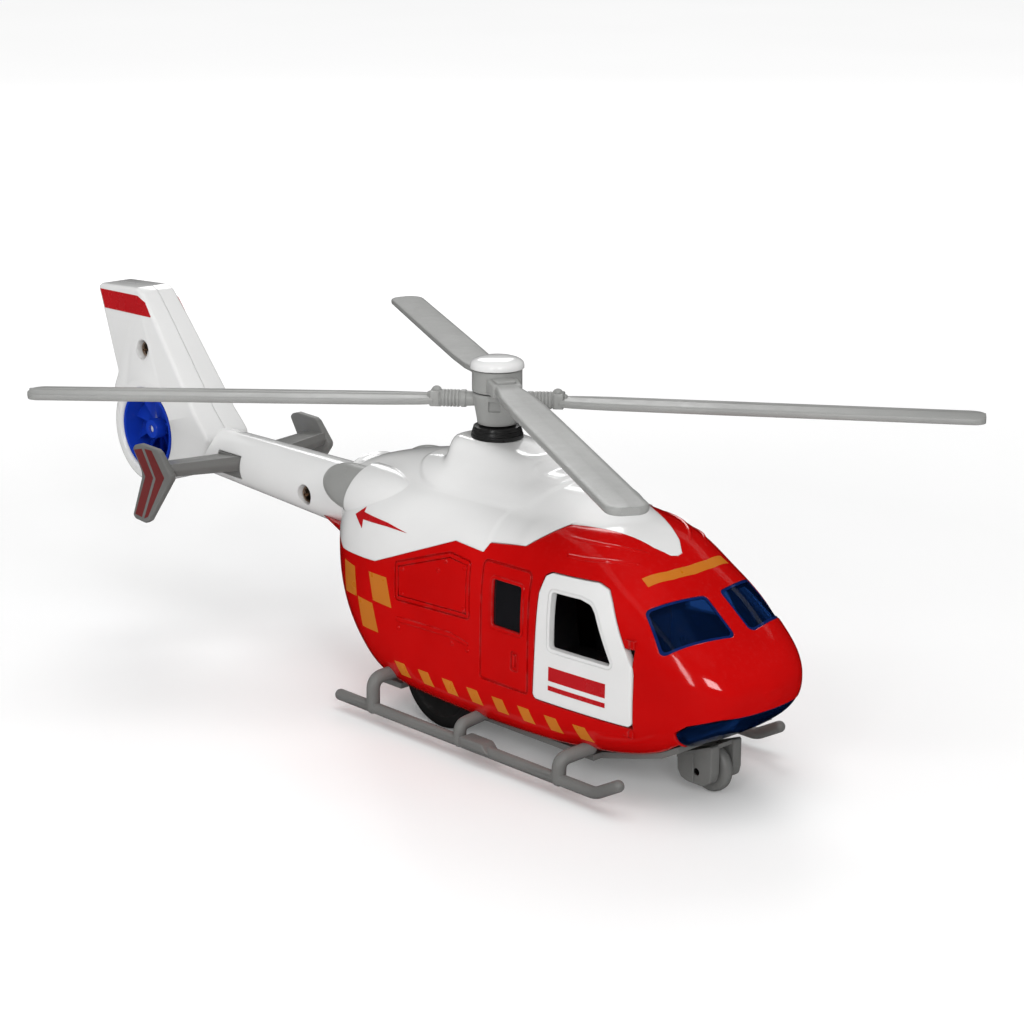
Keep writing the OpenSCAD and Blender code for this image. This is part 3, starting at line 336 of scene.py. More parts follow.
RT = np.array([[-60, 8, 50, 60, 55, 2.2, 2], [-50, 11, 50, 64.3, 56, 2.4, 2], [-37, 13, 50, 68.4, 57, 2.8, 2], [-20, 14.5, 50, 71.8, 57, 3.2, 2], [0, 15, 50, 73.2, 57, 3.4, 2], [22, 15, 50, 73.6, 57, 3.4, 2],
    [40, 14.3, 50, 72.8, 57, 3.2, 2], [47, 12, 50, 70.6, 57, 2.8, 2], [51, 8, 50, 67, 57, 2.4, 2], [53, 2, 54, 60, 57, 2, 2]], float)
def cr(a, b, c, d, t): return 0.5 * (2 * b + (c - a) * t + (2 * a - 5 * b + 4 * c - d) * t * t + (3 * b - a - 3 * c + d) * t ** 3)
def sta(T, u):
    n = len(T) - 1; i = min(int(floor(u)), n - 1); g = lambda k: T[k] if 0 <= k <= n else (2 * T[0] - T[1] if k < 0 else 2 * T[n] - T[n - 1])
    return cr(g(i - 1), g(i), g(i + 1), g(i + 2), u - i)
def sect(s, o, m):
    a = 2 * pi * (np.arange(m) + 0.5) / m; c, q = np.cos(a), np.sin(a); n = np.where(q >= 0, s[5], s[6]); h = np.where(q >= 0, s[3] - s[4] - o, s[4] - s[2] - o)
    return np.stack([np.full(m, s[0]), (s[1] - o) * np.sign(c) * np.abs(c) ** (2 / n), s[4] + h * np.sign(q) * np.abs(q) ** (2 / n)], 1)
def loft(T, o=0.0, u0=0.0, u1=None, k=8, m=176):
    e = len(T) - 1 if u1 is None else u1; n = int(ceil((e - u0) * k))
    return rings_solid([sect(sta(T, u0 + (e - u0) * i / n), o, m) for i in range(n + 1)])
class Field:
    def __init__(s, T): n = len(T) - 1; tb = np.array([sta(T, u) for u in np.linspace(0, n, n * 80 + 1)]); s.tb = tb[np.argsort(tb[:, 0])]; s.x0, s.x1 = s.tb[0, 0], s.tb[-1, 0]
    def G(s, Q):
        x = Q[..., 0]; f = lambda k: np.interp(x, s.tb[:, 0], s.tb[:, k]); w_, zb, zt, zc = f(1), f(2), f(3), f(4); up = Q[..., 2] >= zc
        n = np.where(up, f(5), f(6)); h = np.where(up, zt - zc, zc - zb); g = ((np.abs(Q[..., 1]) / w_) ** n + (np.abs(Q[..., 2] - zc) / h) ** n) ** (1 / n) - 1
        return np.where((x < s.x0) | (x > s.x1), 3.0, g)
    def __call__(s, Q):
        g = s.G(Q); e = 0.03; gr = np.stack([(s.G(Q + d) - s.G(Q - d)) / (2 * e) for d in np.eye(3) * e], -1); L = np.maximum(np.linalg.norm(gr, axis=-1), 1e-6)
        return g / L, gr / L[..., None]
FS, FR = Field(ST), Field(RT)
def surf_y(x, z):
    lo, hi = 0.0, 40.0
    for _ in range(40):
        mid_ = (lo + hi) / 2
        if FS.G(np.array([x, mid_, z])) < 0: lo = mid_
        else: hi = mid_
    return lo
def band(o1, o2, m=176):
    """thin skin of the body between the surface grown by o1 and sunk by o2"""
    return csg(loft(ST, -o1, m=m), ('-', loft(ST, o2, m=m)))

UP = [(-80, 47), (-46, 47), (-39, 43.7), (-21, 44.5), (10, 56.5), (21, 55.8), (22.5, 58.4), (35, 60), (37, 61.5), (43, 66), (43, 90), (-80, 90)]
SPIKE = [(40, -14.6), (43, -13.6), (63, -4.8), (66.5, -2), (67, 0), (66.5, 2), (63, 4.8), (43, 13.6), (40, 14.6)]
def upper(g=0.0): return union([prism(inset(fillet(UP, 0.5, 3), g), -60, 60), prism(inset(SPIKE, g), 55, 90.5, 'z')])
DOOR = [(41.6, 22.6), (43.2, 50), (44.6, 54.6), (46.4, 55.6), (60.5, 55.6), (63.6, 54.4), (65.8, 51.5), (74.6, 37.2), (74.9, 35.5), (74.6, 22.6), (73.6, 21.6), (42.4, 21.6)]
DOORF = fillet(DOOR, 1.2, 4)
GLASS_D = fillet([(47.3, 36.2), (47.3, 51), (56.6, 51), (60, 50.2), (61.6, 48.4), (68.2, 36.2)], [0.8, 0.8, 2.5, 2.5, 1.5, 0.8], 5)
SLIDE = fillet([(21.6, 22), (22.2, 54.2), (39.9, 54.4), (39.5, 22)], [0.8, 1.6, 1.6, 0.8], 5)
WIN = fillet([(26.3, 37.6), (26.3, 50), (37, 50), (37, 37.6)], 0.7, 4)
AFT = fillet([(-12.2, 35.7), (-12.2, 46.2), (8.8, 53.2), (17.2, 52.4), (17.4, 36.9)], 1.0, 4)
ex, ey, ez = -42.0, 15.0, 59.0
hx, hy = 73.4, 23.3
gap, run = 0.35, 0.06

# windscreen openings: four corners, filleted in their own plane
PANE = np.array([[74.2, 19.4, 51], [78.8, 2.6, 52.3], [89.6, 2.8, 44.3], [81.9, 21.6, 41.1]])
pc = PANE.mean(0); pn = np.cross(PANE[1] - PANE[3], PANE[2] - PANE[0]); pn /= np.linalg.norm(pn) * np.sign(pn[2])
pu = PANE[1] - PANE[0]; pu -= pn * (pu @ pn); pu /= np.linalg.norm(pu); pv = np.cross(pn, pu)
def pane(s, g, a, b, r=1.6):
    Q = fillet(inset([((c - pc) @ pu, (c - pc) @ pv) for c in PANE], g), r, 6); V = [pc + pu * q[0] + pv * q[1] + pn * t for t in (a, b) for q in Q]; n = len(Q)
    V = [(v[0], s * v[1], v[2]) for v in V]
    return solid(V, [tuple(range(n)), tuple(range(2 * n - 1, n - 1, -1))] + [(i, (i + 1) % n, n + (i + 1) % n, n + i) for i in range(n)])

# ---- red cabin
def on_side(P2, s, r0=0.0): return [(x, s * (surf_y(x, z) + r0), z) for x, z in P2]
cabin = loft(ST)
ops = [('-', loft(ST, 2.0, 1.6, 13.6, m=120)), ('-', upper(0.05)), ('-', box((-26.2, -20.9, -1), (58.2, 20.9, 11))), ('-', prism([(57.9, 0), (57.9, 11), (69, 13), (78.5, 16), (84.6, 19.2), (86, 8), (86, 0)], -17.7, 17.7)),
       ('-', prism(fillet([(84, 6), (84.0, 11), (85.6, 22.3), (89, 24.8), (96, 27), (110, 28.2), (110, 6)], [0, 0, 1.6, 1.6, 2, 0, 0], 5), -21.5, 21.5)), ('-', cyl((-60, 0, 50.3), (-40, 0, 50.3), 9.75, n=72))]
for s in (-1, 1):
    y0, y1 = (16, 40) if s > 0 else (-40, -16)
    ops += [('-', prism(inset(DOORF, gap), y0, y1)), ('-', cyl((hx, s * hy, 36), (hx, s * hy, 41.9), 1.66, n=40)), ('-', cyl((hx, s * hy, 21.2), (hx, s * hy, 24), 1.72, n=40)), ('-', prism(WIN, y0, y1)), ('-', pane(s, 0.15, -6, 6))]
csg(cabin, *ops)
# sunk lines round the sliding door and the aft hatch, sunk handle; they stop at the skin
cuts = []
for s in (-1, 1):
    y0, y1 = (20, 40) if s > 0 else (-40, -20)
    cuts += [ringprism(SLIDE, 0.3, -0.3, y0, y1), ringprism(AFT, 0.22, -0.22, y0, y1), ringprism(inset(AFT, -1.3), 0.12, -0.12, y0, y1)]
    cuts += [prism(fillet([(33.2, 26.8), (33.4, 32.2), (36.2, 32.2), (36.0, 26.8)], 0.7, 4), y0, y1)]
g1 = csg(union(cuts), ('*', band(1.0, 0.45)))
csg(cabin, ('-', g1))
# raised work: window frame, door rail, hatch rail, handle bar, roof brows
up_ = []
for s in (-1, 1):
    y0, y1 = (20, 40) if s > 0 else (-40, -20)
    up_ += [ringprism(WIN, 0.95, 0.15, y0, y1), prism(fillet([(-11.6, 29.7), (-11.6, 31.0), (10.6, 31.6), (17.0, 30.3), (17.0, 29.5), (10.4, 30.3)], 0.4, 3), y0, y1), prism(fillet([(34.0, 28.0), (34.1, 31.4), (35.0, 31.4), (34.9, 28.0)], 0.3, 3), y0, y1)]
csg(cabin, ('+', csg(union(up_), ('*', band(0.28, 0.6)))))
riv = []
for s in (-1, 1):
    for x, z in ((-9.2, 45.0), (-9.4, 37.9), (7.6, 50.6), (15.0, 50.2), (15.2, 39.2), (5.0, 47.6), (-11.0, 27.9), (10.6, 28.6), (16.6, 28.2)):
        y = surf_y(x, z); riv.append(ellip((x, s * (y - 0.08), z), (0.62, 0.42, 0.62), 16, 8))
csg(cabin, *[('+', r_) for r_ in riv])
brow = []
for s in (-1, 1):
    for P3, rr in (([(46.2, 17.2), (50, 16.6), (55, 14.9), (60, 11.6), (63.4, 8.2)], 0.85), ([(49.0, 21.0), (54.5, 19.7), (60.0, 17.0), (65.0, 12.4)], 0.7)):
        pts = []
        for x, y in P3:
            lo, hi = 40.0, 75.0
            for _ in range(40):
                m_ = (lo + hi) / 2
                if FS.G(np.array([x, y, m_])) < 0: lo = m_
                else: hi = m_
            pts.append((x, s * y, lo - rr + 0.24))
        q = []
        for i in range(len(pts) - 1):
            for t in np.linspace(0, 1, 7)[:-1]: q.append(cr(np.array(pts[max(i - 1, 0)]), np.array(pts[i]), np.array(pts[i + 1]), np.array(pts[min(i + 2, len(pts) - 1)]), t))
        q.append(np.array(pts[-1])); n = len(q); brow.append(tube(q, [rr * (0.75 + 0.25 * sin(pi * i / (n - 1))) for i in range(n)], 18))
csg(cabin, *[('+', b_) for b_ in brow])
done(cabin, "cabin_red", "red_gloss", "airframe", fields=(FS,), replaces=("cabin_shell",))

# ---- white cowl: one skin whose distance from a line through the body blends all the raised forms
A0 = 47.0
xs = np.arange(-60, 67.6, 0.5); s0 = sect(sta(ST, 6.0), 0, 1400); ang0 = np.unwrap(np.arctan2(s0[:, 2] - A0, s0[:, 1])); arc = np.concatenate([[0], np.cumsum(np.linalg.norm(np.diff(s0[:, 1:], axis=0), axis=1))])
NT = 256; th = np.interp(np.linspace(0, arc[-1], NT, endpoint=False), arc, ang0)
XX, TH = np.meshgrid(xs, th, indexing='ij'); CT, SN = np.cos(TH), np.sin(TH)
def pt(R_): return np.stack([XX, R_ * CT, A0 + R_ * SN], -1)
lo, hi = np.zeros_like(XX), np.full_like(XX, 60.0)
for _ in range(26):
    md = (lo + hi) / 2; ins = FS.G(pt(md)) < 0; lo = np.where(ins, md, lo); hi = np.where(ins, hi, md)
rS = np.maximum(lo, 0.4)
rR = np.zeros_like(XX)
for r_ in np.arange(0, 40, 0.5): rR = np.where(FR.G(pt(np.full_like(XX, r_))) < 0, r_, rR)
lo, hi = rR.copy(), rR + 0.5
for _ in range(10):
    md = (lo + hi) / 2; ins = FR.G(pt(md)) < 0; lo = np.where(ins, md, lo); hi = np.where(ins, hi, md)
rR = np.where(rR > 0, lo, 0)
best = rR
for s in (-1, 1):
    c = np.array([ex + 14, s * 14.2, ez - 1.6]); rad = np.array([16.5, 7.4, 8.8]); O = (np.stack([XX, XX * 0, XX * 0 + A0], -1) - c) / rad; Dv = np.stack([XX * 0, CT, SN], -1) / rad
    a_ = (Dv ** 2).sum(-1); b_ = (O * Dv).sum(-1); c_ = (O ** 2).sum(-1) - 1; disc = b_ * b_ - a_ * c_
    best = np.maximum(best, np.where(disc > 0, (-b_ + np.sqrt(np.maximum(disc, 0))) / a_, 0))
def rr4(cx_, lx, ly, r, z): return [(cx_ + sx * (lx / 2) + r * cos(a), sy * (ly / 2) + r * sin(a), z) for sx, sy, a0 in ((1, 1, 0), (-1, 1, 90), (-1, -1, 180), (1, -1, 270)) for a in np.radians(np.linspace(a0, a0 + 90, 7))]
hp = hull(rr4(-4, 5, 14, 4, 68) + rr4(16, 26, 14, 4, 66) + rr4(-5, 3, 9, 5, 78.5) + rr4(12, 6, 9, 5, 76.9))
def ray_hull(h_):
    tn, tf = np.full(XX.shape, -1e9), np.full(XX.shape, 1e9)
    for f in h_.data.polygons:
        n_ = np.array(f.normal); d_ = n_ @ np.array(h_.data.vertices[f.vertices[0]].co); de = n_[1] * CT + n_[2] * SN; nu = d_ - (n_[0] * XX + n_[2] * A0)
        with np.errstate(divide='ignore', invalid='ignore'): t = nu / de
        tf = np.where(de > 1e-9, np.minimum(tf, t), tf); tn = np.where(de < -1e-9, np.maximum(tn, t), tn); tf = np.where((np.abs(de) <= 1e-9) & (nu < 0), -1e9, tf)
    return np.where(tf > np.maximum(tn, 0), tf, 0)
pyl = ray_hull(hp); bpy.data.objects.remove(hp)
def blur(A, n):
    for _ in range(n):
        A = (np.roll(A, 1, 1) + 2 * A + np.roll(A, -1, 1)) / 4; B = np.pad(A, ((1, 1), (0, 0)), 'edge'); A = (B[:-2] + 2 * B[1:-1] + B[2:]) / 4
    return A
ridge = blur(np.maximum(best - rS, 0), 9)
rB = rS + ridge
rC = rB + blur(np.maximum(pyl - rB, 0), 5)
# moulded steps in the skin: cover ahead of the exhausts, shoulder bulge, plinth line round the pylon
def sst(v, a, b): t = np.clip((v - a) / (b - a), 0, 1); return t * t * (3 - 2 * t)
YY, ZZ = rC * CT, A0 + rC * SN
side_w = sst(np.abs(YY), 14.5, 17) * sst(ZZ, 50, 54)
rC = rC - 0.30 * sst(XX, 21.2, 22.4) * (1 - sst(XX, 30.0, 35.0)) * side_w
rC = rC + 0.35 * sst(XX, 28, 34) * (1 - sst(XX, 40, 46)) * sst(np.abs(YY), 12, 17) * (1 - sst(np.abs(YY), 21, 24)) * sst(ZZ, 58, 61)
pl = ((XX - 6.5) / 27.5) ** 4 + (YY / 16.0) ** 4
rC = rC + 0.55 * (1 - sst(pl, 0.80, 1.0)) * sst(ZZ, 62, 66)
rC = rC + 0.5 * sst(XX, 21.0, 22.2) * (1 - sst(XX, 30.5, 31.5)) * (1 - sst(np.abs(YY), 7.0, 8.2)) * sst(ZZ, 66, 69)
dome_r = 0.0
def skin(off=0.0): return rings_solid(list(pt(np.maximum(rC + off, 0.3))))
PG = pt(rC); dX = np.gradient(PG, axis=0); dT = (np.roll(PG, -1, 1) - np.roll(PG, 1, 1)) / 2; NG = np.cross(dT, dX); NG /= np.linalg.norm(NG, axis=-1)[..., None]
NG *= np.sign((NG * np.stack([XX * 0, CT, SN], -1)).sum(-1))[..., None]
tho = np.argsort(np.mod(th, 2 * pi)); tsort = np.mod(th, 2 * pi)[tho]
def cowl_field(Q):
    t = np.mod(np.arctan2(Q[:, 2] - A0, Q[:, 1]), 2 * pi); r = np.hypot(Q[:, 1], Q[:, 2] - A0); fi = np.clip((Q[:, 0] - xs[0]) / 0.5, 0, len(xs) - 1.001); i = fi.astype(int); fx = fi - i
    tp = np.concatenate([[tsort[-1] - 2 * pi], tsort, [tsort[0] + 2 * pi]]); idx = np.concatenate([[tho[-1]], tho, [tho[0]]]); k = np.clip(np.searchsorted(tp, t) - 1, 0, len(tp) - 2); ft = (t - tp[k]) / (tp[k + 1] - tp[k]); a, b = idx[k], idx[k + 1]
    f = lambda A: ((A[i, a].T * (1 - fx) + A[i + 1, a].T * fx) * (1 - ft) + (A[i, b].T * (1 - fx) + A[i + 1, b].T * fx) * ft).T
    n = f(NG); n /= np.maximum(np.linalg.norm(n, axis=1), 1e-6)[:, None]
    return (r - f(rC)) * np.abs(n[:, 1] * np.cos(t) + n[:, 2] * np.sin(t)), n
def ell_field(c, r):
    c, r = np.array(c), np.array(r)
    def f(Q): q = (Q - c) / r; k = np.linalg.norm(q, axis=1); n = q / r; n /= np.maximum(np.linalg.norm(n, axis=1), 1e-9)[:, None]; return (k - 1) * r.min(), n
    return f
def slant(d=0.0, g=0.0): return prism([(ex - g + d, 40), (ex - g + d, 51.8), (ex - g + d + 8.0, 67.4), (ex - g + d + 11.0, 73), (ex + 60, 73), (ex + 60, 40)], -40, 40)
def oval(s, x0, x1, g=0.0):
    o = cyl((x0, s * ey, ez), (x1, s * ey, ez), 1.0, n=96)
    for v in o.data.vertices: v.co.y = s * ey + (v.co.y - s * ey) * (5.6 + g); v.co.z = ez + (v.co.z - ez) * (6.9 + g)
    return o
def dome(s, g=0.0): return csg(ellip((ex, s * ey, ez), (13 + g, 5.6 + g, 6.9 + g), 64, 40), ('*', box((ex - 30, -40, 40), (ex + 0.01, 40, 80))), ('+', csg(oval(s, ex - 0.2, ex + 12, g - 0.02), ('-', slant(0.0 if g == 0 else 2.35)))))
def collar(s, g=0.0): return csg(ellip((ex + 9, s * ey, ez - 0.1), (19 + g, 7.4 + g, 8.9 + g), 96, 60), ('*', slant(0.0, g)))
cowl = skin()
ops = [('*', upper()), ('-', csg(loft(ST, 2.0, 1.6, 13.6, k=4, m=100), ('*', box((-70, -40, 0), (130, 40, 66))))), ('-', cyl((0, 0, 60), (0, 0, 90), 4.5)), ('-', cyl((-64, 0, 50.3), (-40, 0, 50.3), 9.75, n=72)),
       ('-', csg(prism([(43.01, -17), (74, -17), (74, 17), (43.01, 17)], 40, 90, 'z'), ('-', prism(SPIKE, 54, 91, 'z'))))]
for s in (-1, 1):
    ops = [('+', bevelled(collar(s), 0.35, 3, 50))] + ops + [('-', dome(s, gap)), ('-', cyl((ex - 1, s * ey, ez), (ex + 7, s * ey, ez), 5.2))]
csg(cowl, *ops)
done(cowl, "cowl_white", "white_gloss", "airframe", fields=(cowl_field, ell_field((ex + 9, ey, ez - 0.1), (19, 7.4, 8.9)), ell_field((ex + 9, -ey, ez - 0.1), (19, 7.4, 8.9))), near=24, replaces=("top_cowl",))
d = csg(dome(1), ('+', cyl((ex - 0.2, ey, ez), (ex + 4.4, ey, ez), 4.8)))
done(d, "side_dome_left", "grey_plastic", "airframe", fields=(ell_field((ex, ey, ez), (13, 5.6, 6.9)),), replaces=("exhaust_left",))
d = csg(dome(-1), ('+', cyl((ex - 0.1, -ey, ez), (ex + 7.4, -ey, ez), 1.7)))
done(d, "side_button_right", "grey_plastic", "button", fields=(ell_field((ex, -ey, ez), (13, 5.6, 6.9)),), replaces=("sound_button",))

# ---- prints on the cabin: plain shapes only
def print_on(polys, name, mat, body, h=0.05):
    o = csg(union(polys), ('*', band(h, 0.08)))
    return done(o, name, mat, body, fields=(FS,))
pr = []
for s in (-1, 1):
    y0, y1 = (12, 40) if s > 0 else (-40, -12)
    for P_ in ([(-37.4, 41.0), (-31.0, 40.6), (-30.2, 32.2), (-37.4, 31.8)], [(-23.6, 41.0), (-15.9, 41.0), (-13.8, 32.8), (-21.8, 33.2)], [(-29.5, 32.5), (-22.2, 32.2), (-19.7, 24.3), (-27.5, 24.3)]): pr.append(prism(P_, y0, y1))
    for k in range(8):
        x = -13.3 + 9.8 * k; pr.append(prism([(x, 17.8), (x + 4.1, 17.8), (x + 6.2, 14.0), (x + 2.0, 14.0)], y0, y1))
print_on(pr, "print_orange_blocks", "print_orange", "airframe")
pr = [prism([(68.4, -14.6), (70.9, -14.9), (72.6, -7.6), (73.1, 0), (72.6, 7.6), (70.9, 14.9), (68.4, 14.6), (70.1, 7.4), (70.5, 0), (70.1, -7.4)], 44, 70, 'z')]
print_on(pr, "print_orange_brow", "print_orange", "airframe")

# ---- doors: shell segment with a hinge barrel, window opening, printed bars
for s, side_, body in ((1, "left", "left_door"), (-1, "right", "right_door")):
    y0, y1 = (16, 40) if s > 0 else (-40, -16)
    d = csg(loft(ST, 0, 7.4, 11.2, k=14), ('*', prism(DOORF, y0, y1)), ('*', csg(box((0, -60, 0), (hx, 60, 100)), ('+', cyl((hx, s * hy, 0), (hx, s * hy, 101), 1.35, n=48)))), ('-', loft(ST, 2.0, 7.2, 11.4, k=8, m=120)), ('-', prism(GLASS_D, y0, y1)))
    # shallow step round the window
    csg(d, ('-', csg(ringprism(GLASS_D, 0.9, -0.4, y0, y1), ('*', band(1.0, 0.22)))))
    done(d, f"door_{side_}_white", "white_gloss", body, fields=(FS,), replaces=(f"door_{side_}",))
    bars = [prism([(47.2, 27.6), (47.3, 31.4), (66.6, 31.4), (66.5, 27.6)], y0, y1), prism([(47.1, 25.0), (47.15, 26.3), (66.5, 26.3), (66.45, 25.0)], y0, y1)]
    print_on(bars, f"print_door_bars_{side_}", "print_red", body)

# ---- red arrow on the cowl, pointing at the button; the cowl's own skin carries it
arrow = [(-33.2, 54.7), (-28.6, 57.7), (-28.9, 56.2), (-17.5, 55.7), (-9.0, 54.6), (-17.5, 54.7), (-28.6, 54.3), (-28.4, 51.9)]
a = csg(csg(skin(0.05), ('+', collar(-1, 0.05)), ('-', skin(-0.08)), ('-', collar(-1, -0.08))), ('*', prism(arrow, -40, -16)))
done(a, "print_red_arrow", "print_red", "airframe", fields=(cowl_field, ell_field((ex + 9, -ey, ez - 0.1), (19, 7.4, 8.9))), near=24)

# ---- glazing
for s, nm in ((-1, "right"), (1, "left")):
    g = csg(loft(ST, 0.45, 9, 13.4, k=10, m=200), ('*', pane(s, -0.05, -5, 5, 1.5)), ('-', loft(ST, 1.9, 8.6, 13.6, k=8, m=160)))
    rim = csg(loft(ST, 1.85, 9, 13.4, k=8, m=160), ('*', pane(s, 1.2, -7, 7, 1.8)), ('-', loft(ST, 3.0, 8.6, 13.3, k=8, m=160)))
    done(csg(g, ('+', rim)), f"windscreen_pane_{nm}", "blue_clear", "airframe", fields=(FS,), tol=0.7, replaces=("windscreen",))
    edge = csg(loft(ST, 0.18, 9, 13.4, k=10, m=200), ('*', csg(pane(s, 0.1, -5, 5, 1.6), ('-', pane(s, -0.62, -7, 7, 1.2)))), ('-', loft(ST, 1.2, 8.6, 13.6, k=8, m=160)))
    done(edge, f"windscreen_edge_{nm}", "blue_rim", "airframe", fields=(FS,), tol=0.7)
cw = prism(fillet([(84.9, 6), (84.9, 16.8), (85.8, 22.1), (89.1, 24.5), (96.1, 26.7), (110, 27.9), (110, 6)], [0, 0, 1.4, 1.4, 2, 0, 0], 5), -21.3, 21.3)
c = csg(loft(ST, 0.3, 9, 14.9, k=10, m=200), ('*', cw), ('-', loft(ST, 2.0, 8.6, 13.9, k=8, m=160)))
done(c, "chin_pane", "blue_clear", "airframe", fields=(FS,), tol=0.7, replaces=("chin_window",))

# ------------------------------------------------------------------ tail: boom, fin and duct, closed by two screws
fx, fz, duct_r = -154.0, 54.7, 13.1
bx0, bx1 = -56.0, -130.0
FIN = [(-179.4, 97), (-178.2, 98.2), (-158.5, 99.2), (-155.5, 98), (-148, 89.5), (-133, 71), (-128, 64.6), (-121, 57.6), (-124, 50.5), (-129.5, 45.6), (-136, 45), (-154, 45), (-166, 52), (-171, 66), (-168.6, 71.2)]
def fin_t(z): return 8.2 if z <= 60 else 8.2 - 2.0 * (z - 60) / 40
ba = atan2(1.9, 74); bd = np.array([-cos(ba), 0, sin(ba)])
def boom_pt(x): return np.array([bx0, 0, 50.3]) + bd * ((bx0 - x) / cos(ba))
def boom_r(x): return 9.6 + (7.3 - 9.6) * (bx0 - x) / (bx0 - bx1)
FINF = fillet(FIN, [1.2, 1.2, 1.5, 3, 0, 2, 4, 3, 2, 2, 3, 0, 3, 3, 2], 4)
def fin_solid():
    n = len(FINF); zs = [fin_t(p[1]) for p in FINF]
    # slice the flat outline at z = 60 so that each side is made of flat pieces
    o = prism(FINF, -9, 9); wedge = prism([(-8.2, 30), (-8.2, 60), (-6.2, 100), (6.2, 100), (8.2, 60), (8.2, 30)], -200, -110, 'x')
    o = csg(o, ('*', wedge)); return bevelled(o, 1.15, 4, 28)
FRO = csg(fin_solid(), ('+', bevelled(cyl((fx, 7.9, fz), (fx, -7.9, fz), 17, n=128), 1.2, 4, 40)))
R = []
for x in np.linspace(bx0 + 9, bx1 - 3, 40):
    c = boom_pt(x); r_ = min(boom_r(x), 9.35 if x > bx0 else 99); u, v, w_ = frame3(bd); R.append([c + r_ * (cos(2 * pi * k / 96) * u + sin(2 * pi * k / 96) * v) for k in range(96)])
boom = rings_solid(R)
tail = csg(boom, ('+', FRO), ('-', cyl((fx, 20, fz), (fx, -20, fz), duct_r, n=96)), ('-', box((-116.8, -20, 47.9), (-105.2, 20, 55.0))))
# rounded mouth of the duct on both sides of the fin
csg(tail, ('-', rev([(duct_r + 1.3, 0), (duct_r + 0.75, 0.35), (duct_r + 0.3, 0.8), (duct_r + 0.08, 1.5), (duct_r, 2.3)], (fx, 8.25, fz), (0, -1, 0), 96)), ('-', rev([(duct_r + 1.3, 0), (duct_r + 0.75, 0.35), (duct_r + 0.3, 0.8), (duct_r + 0.08, 1.5), (duct_r, 2.3)], (fx, -8.25, fz), (0, 1, 0), 96)))
def fin_face(P_, s, lo_, hi_):
    V = [(x, s * (fin_t(z) + t), z) for t in (lo_, hi_) for x, z in P_]; n = len(P_)
    return solid(V, [tuple(range(n)), tuple(range(2 * n - 1, n - 1, -1))] + [(i, (i + 1) % n, n + (i + 1) % n, n + i) for i in range(n)])
boss = []
for q in ((-73.3, 49.6, 9.2), (-155.2, 80.2, 7.2)):
    y = 9.05 if q[0] > -100 else fin_t(q[2])
    csg(tail, ('-', cyl((q[0], -20, q[1] if q[0] > -200 else 0), (q[0], -q[2] + 2.8, q[1]), 3.0, n=48)), ('-', rev([(3.55, 0), (3.1, 0.35), (3.0, 0.9)], (q[0], -(fin_t(q[1]) + 0.0) if q[0] < -100 else -9.2, q[1]), (0, 1, 0), 48)), ('-', cyl((q[0], -20, q[1]), (q[0], 5, q[1]), 1.2, n=24)))
tl = copy(tail); tr = tail
csg(tl, ('*', box((-200, 0.045, 20), (-30, 40, 110)))); csg(tr, ('*', box((-200, -40, 20), (-30, -0.045, 110))))
sp = [bevelled(cyl((fx, 7.2, fz), (fx, 5.8, fz), 3.2, n=48), 0.3, 2, 40), cyl((fx, 6, fz), (fx, -5, fz), 1.2, n=32)]
for a in (90, 210, 330):
    c_, s_ = cos(radians(a)), sin(radians(a)); P2 = [(fx + t * c_ - k * s_, fz - t * s_ - k * c_) for t, k in ((0, -0.8), (duct_r + 0.6, -0.8), (duct_r + 0.6, 0.8), (0, 0.8))]
    sp.append(bevelled(prism(P2, 5.8, 7.2), 0.3, 2, 40))
csg(tl, *[('+', o) for o in sp])
def boom_field(Q):
    d_ = Q - np.array([bx0, 0, 50.3]); t = d_ @ bd; rv = d_ - t[:, None] * bd; r_ = np.linalg.norm(rv, axis=1); n = rv / np.maximum(r_, 1e-6)[:, None]; R_ = 9.6 - 2.3 * t / 74.02
    n = n + bd * (2.3 / 74.02); n /= np.linalg.norm(n, axis=1)[:, None]
    return np.where((t < -1) | (t > 78), 9, r_ - R_), n
done(tl, "tail_left", "white_gloss", "airframe", fields=(boom_field,), tol=0.3, near=6, replaces=("tail_boom_left",))
done(tr, "tail_right", "white_gloss", "airframe", fields=(boom_field,), tol=0.3, near=6, replaces=("tail_boom_right",))
# the tongue of the red shell that cradles the boom from below
R = []
for x in np.linspace(-67.0, -45.0, 45):
    c = boom_pt(x); r_ = boom_r(x) - 0.1; t = x + 67.0; R.append([(x, (r_ + 0.19 * t) * cos(2 * pi * k / 96), c[2] + (r_ + 0.34 * t) * sin(2 * pi * k / 96)) for k in range(96)])
q0, q1 = boom_pt(-72), boom_pt(-44)
lip = csg(rings_solid(R), ('*', box((-80, -40, 20), (-40, 40, 44.7))), ('-', cyl(tuple(q0), tuple(q1), boom_r(-72) + 0.03, boom_r(-44) + 0.03, n=96)))
done(lip, "cabin_red_tail_lip", "red_gloss", "airframe")
fb = fillet([(-178.0, 96.6), (-157.6, 96.9), (-153.9, 95.4), (-150.4, 91.0), (-175.4, 90.8)], [0.1, 1.8, 1.8, 0.2, 0.2], 5)
done(union([fin_face(fb, s, -0.25, 0.05) for s in (-1, 1)]), "print_fin_band", "print_red", "airframe")
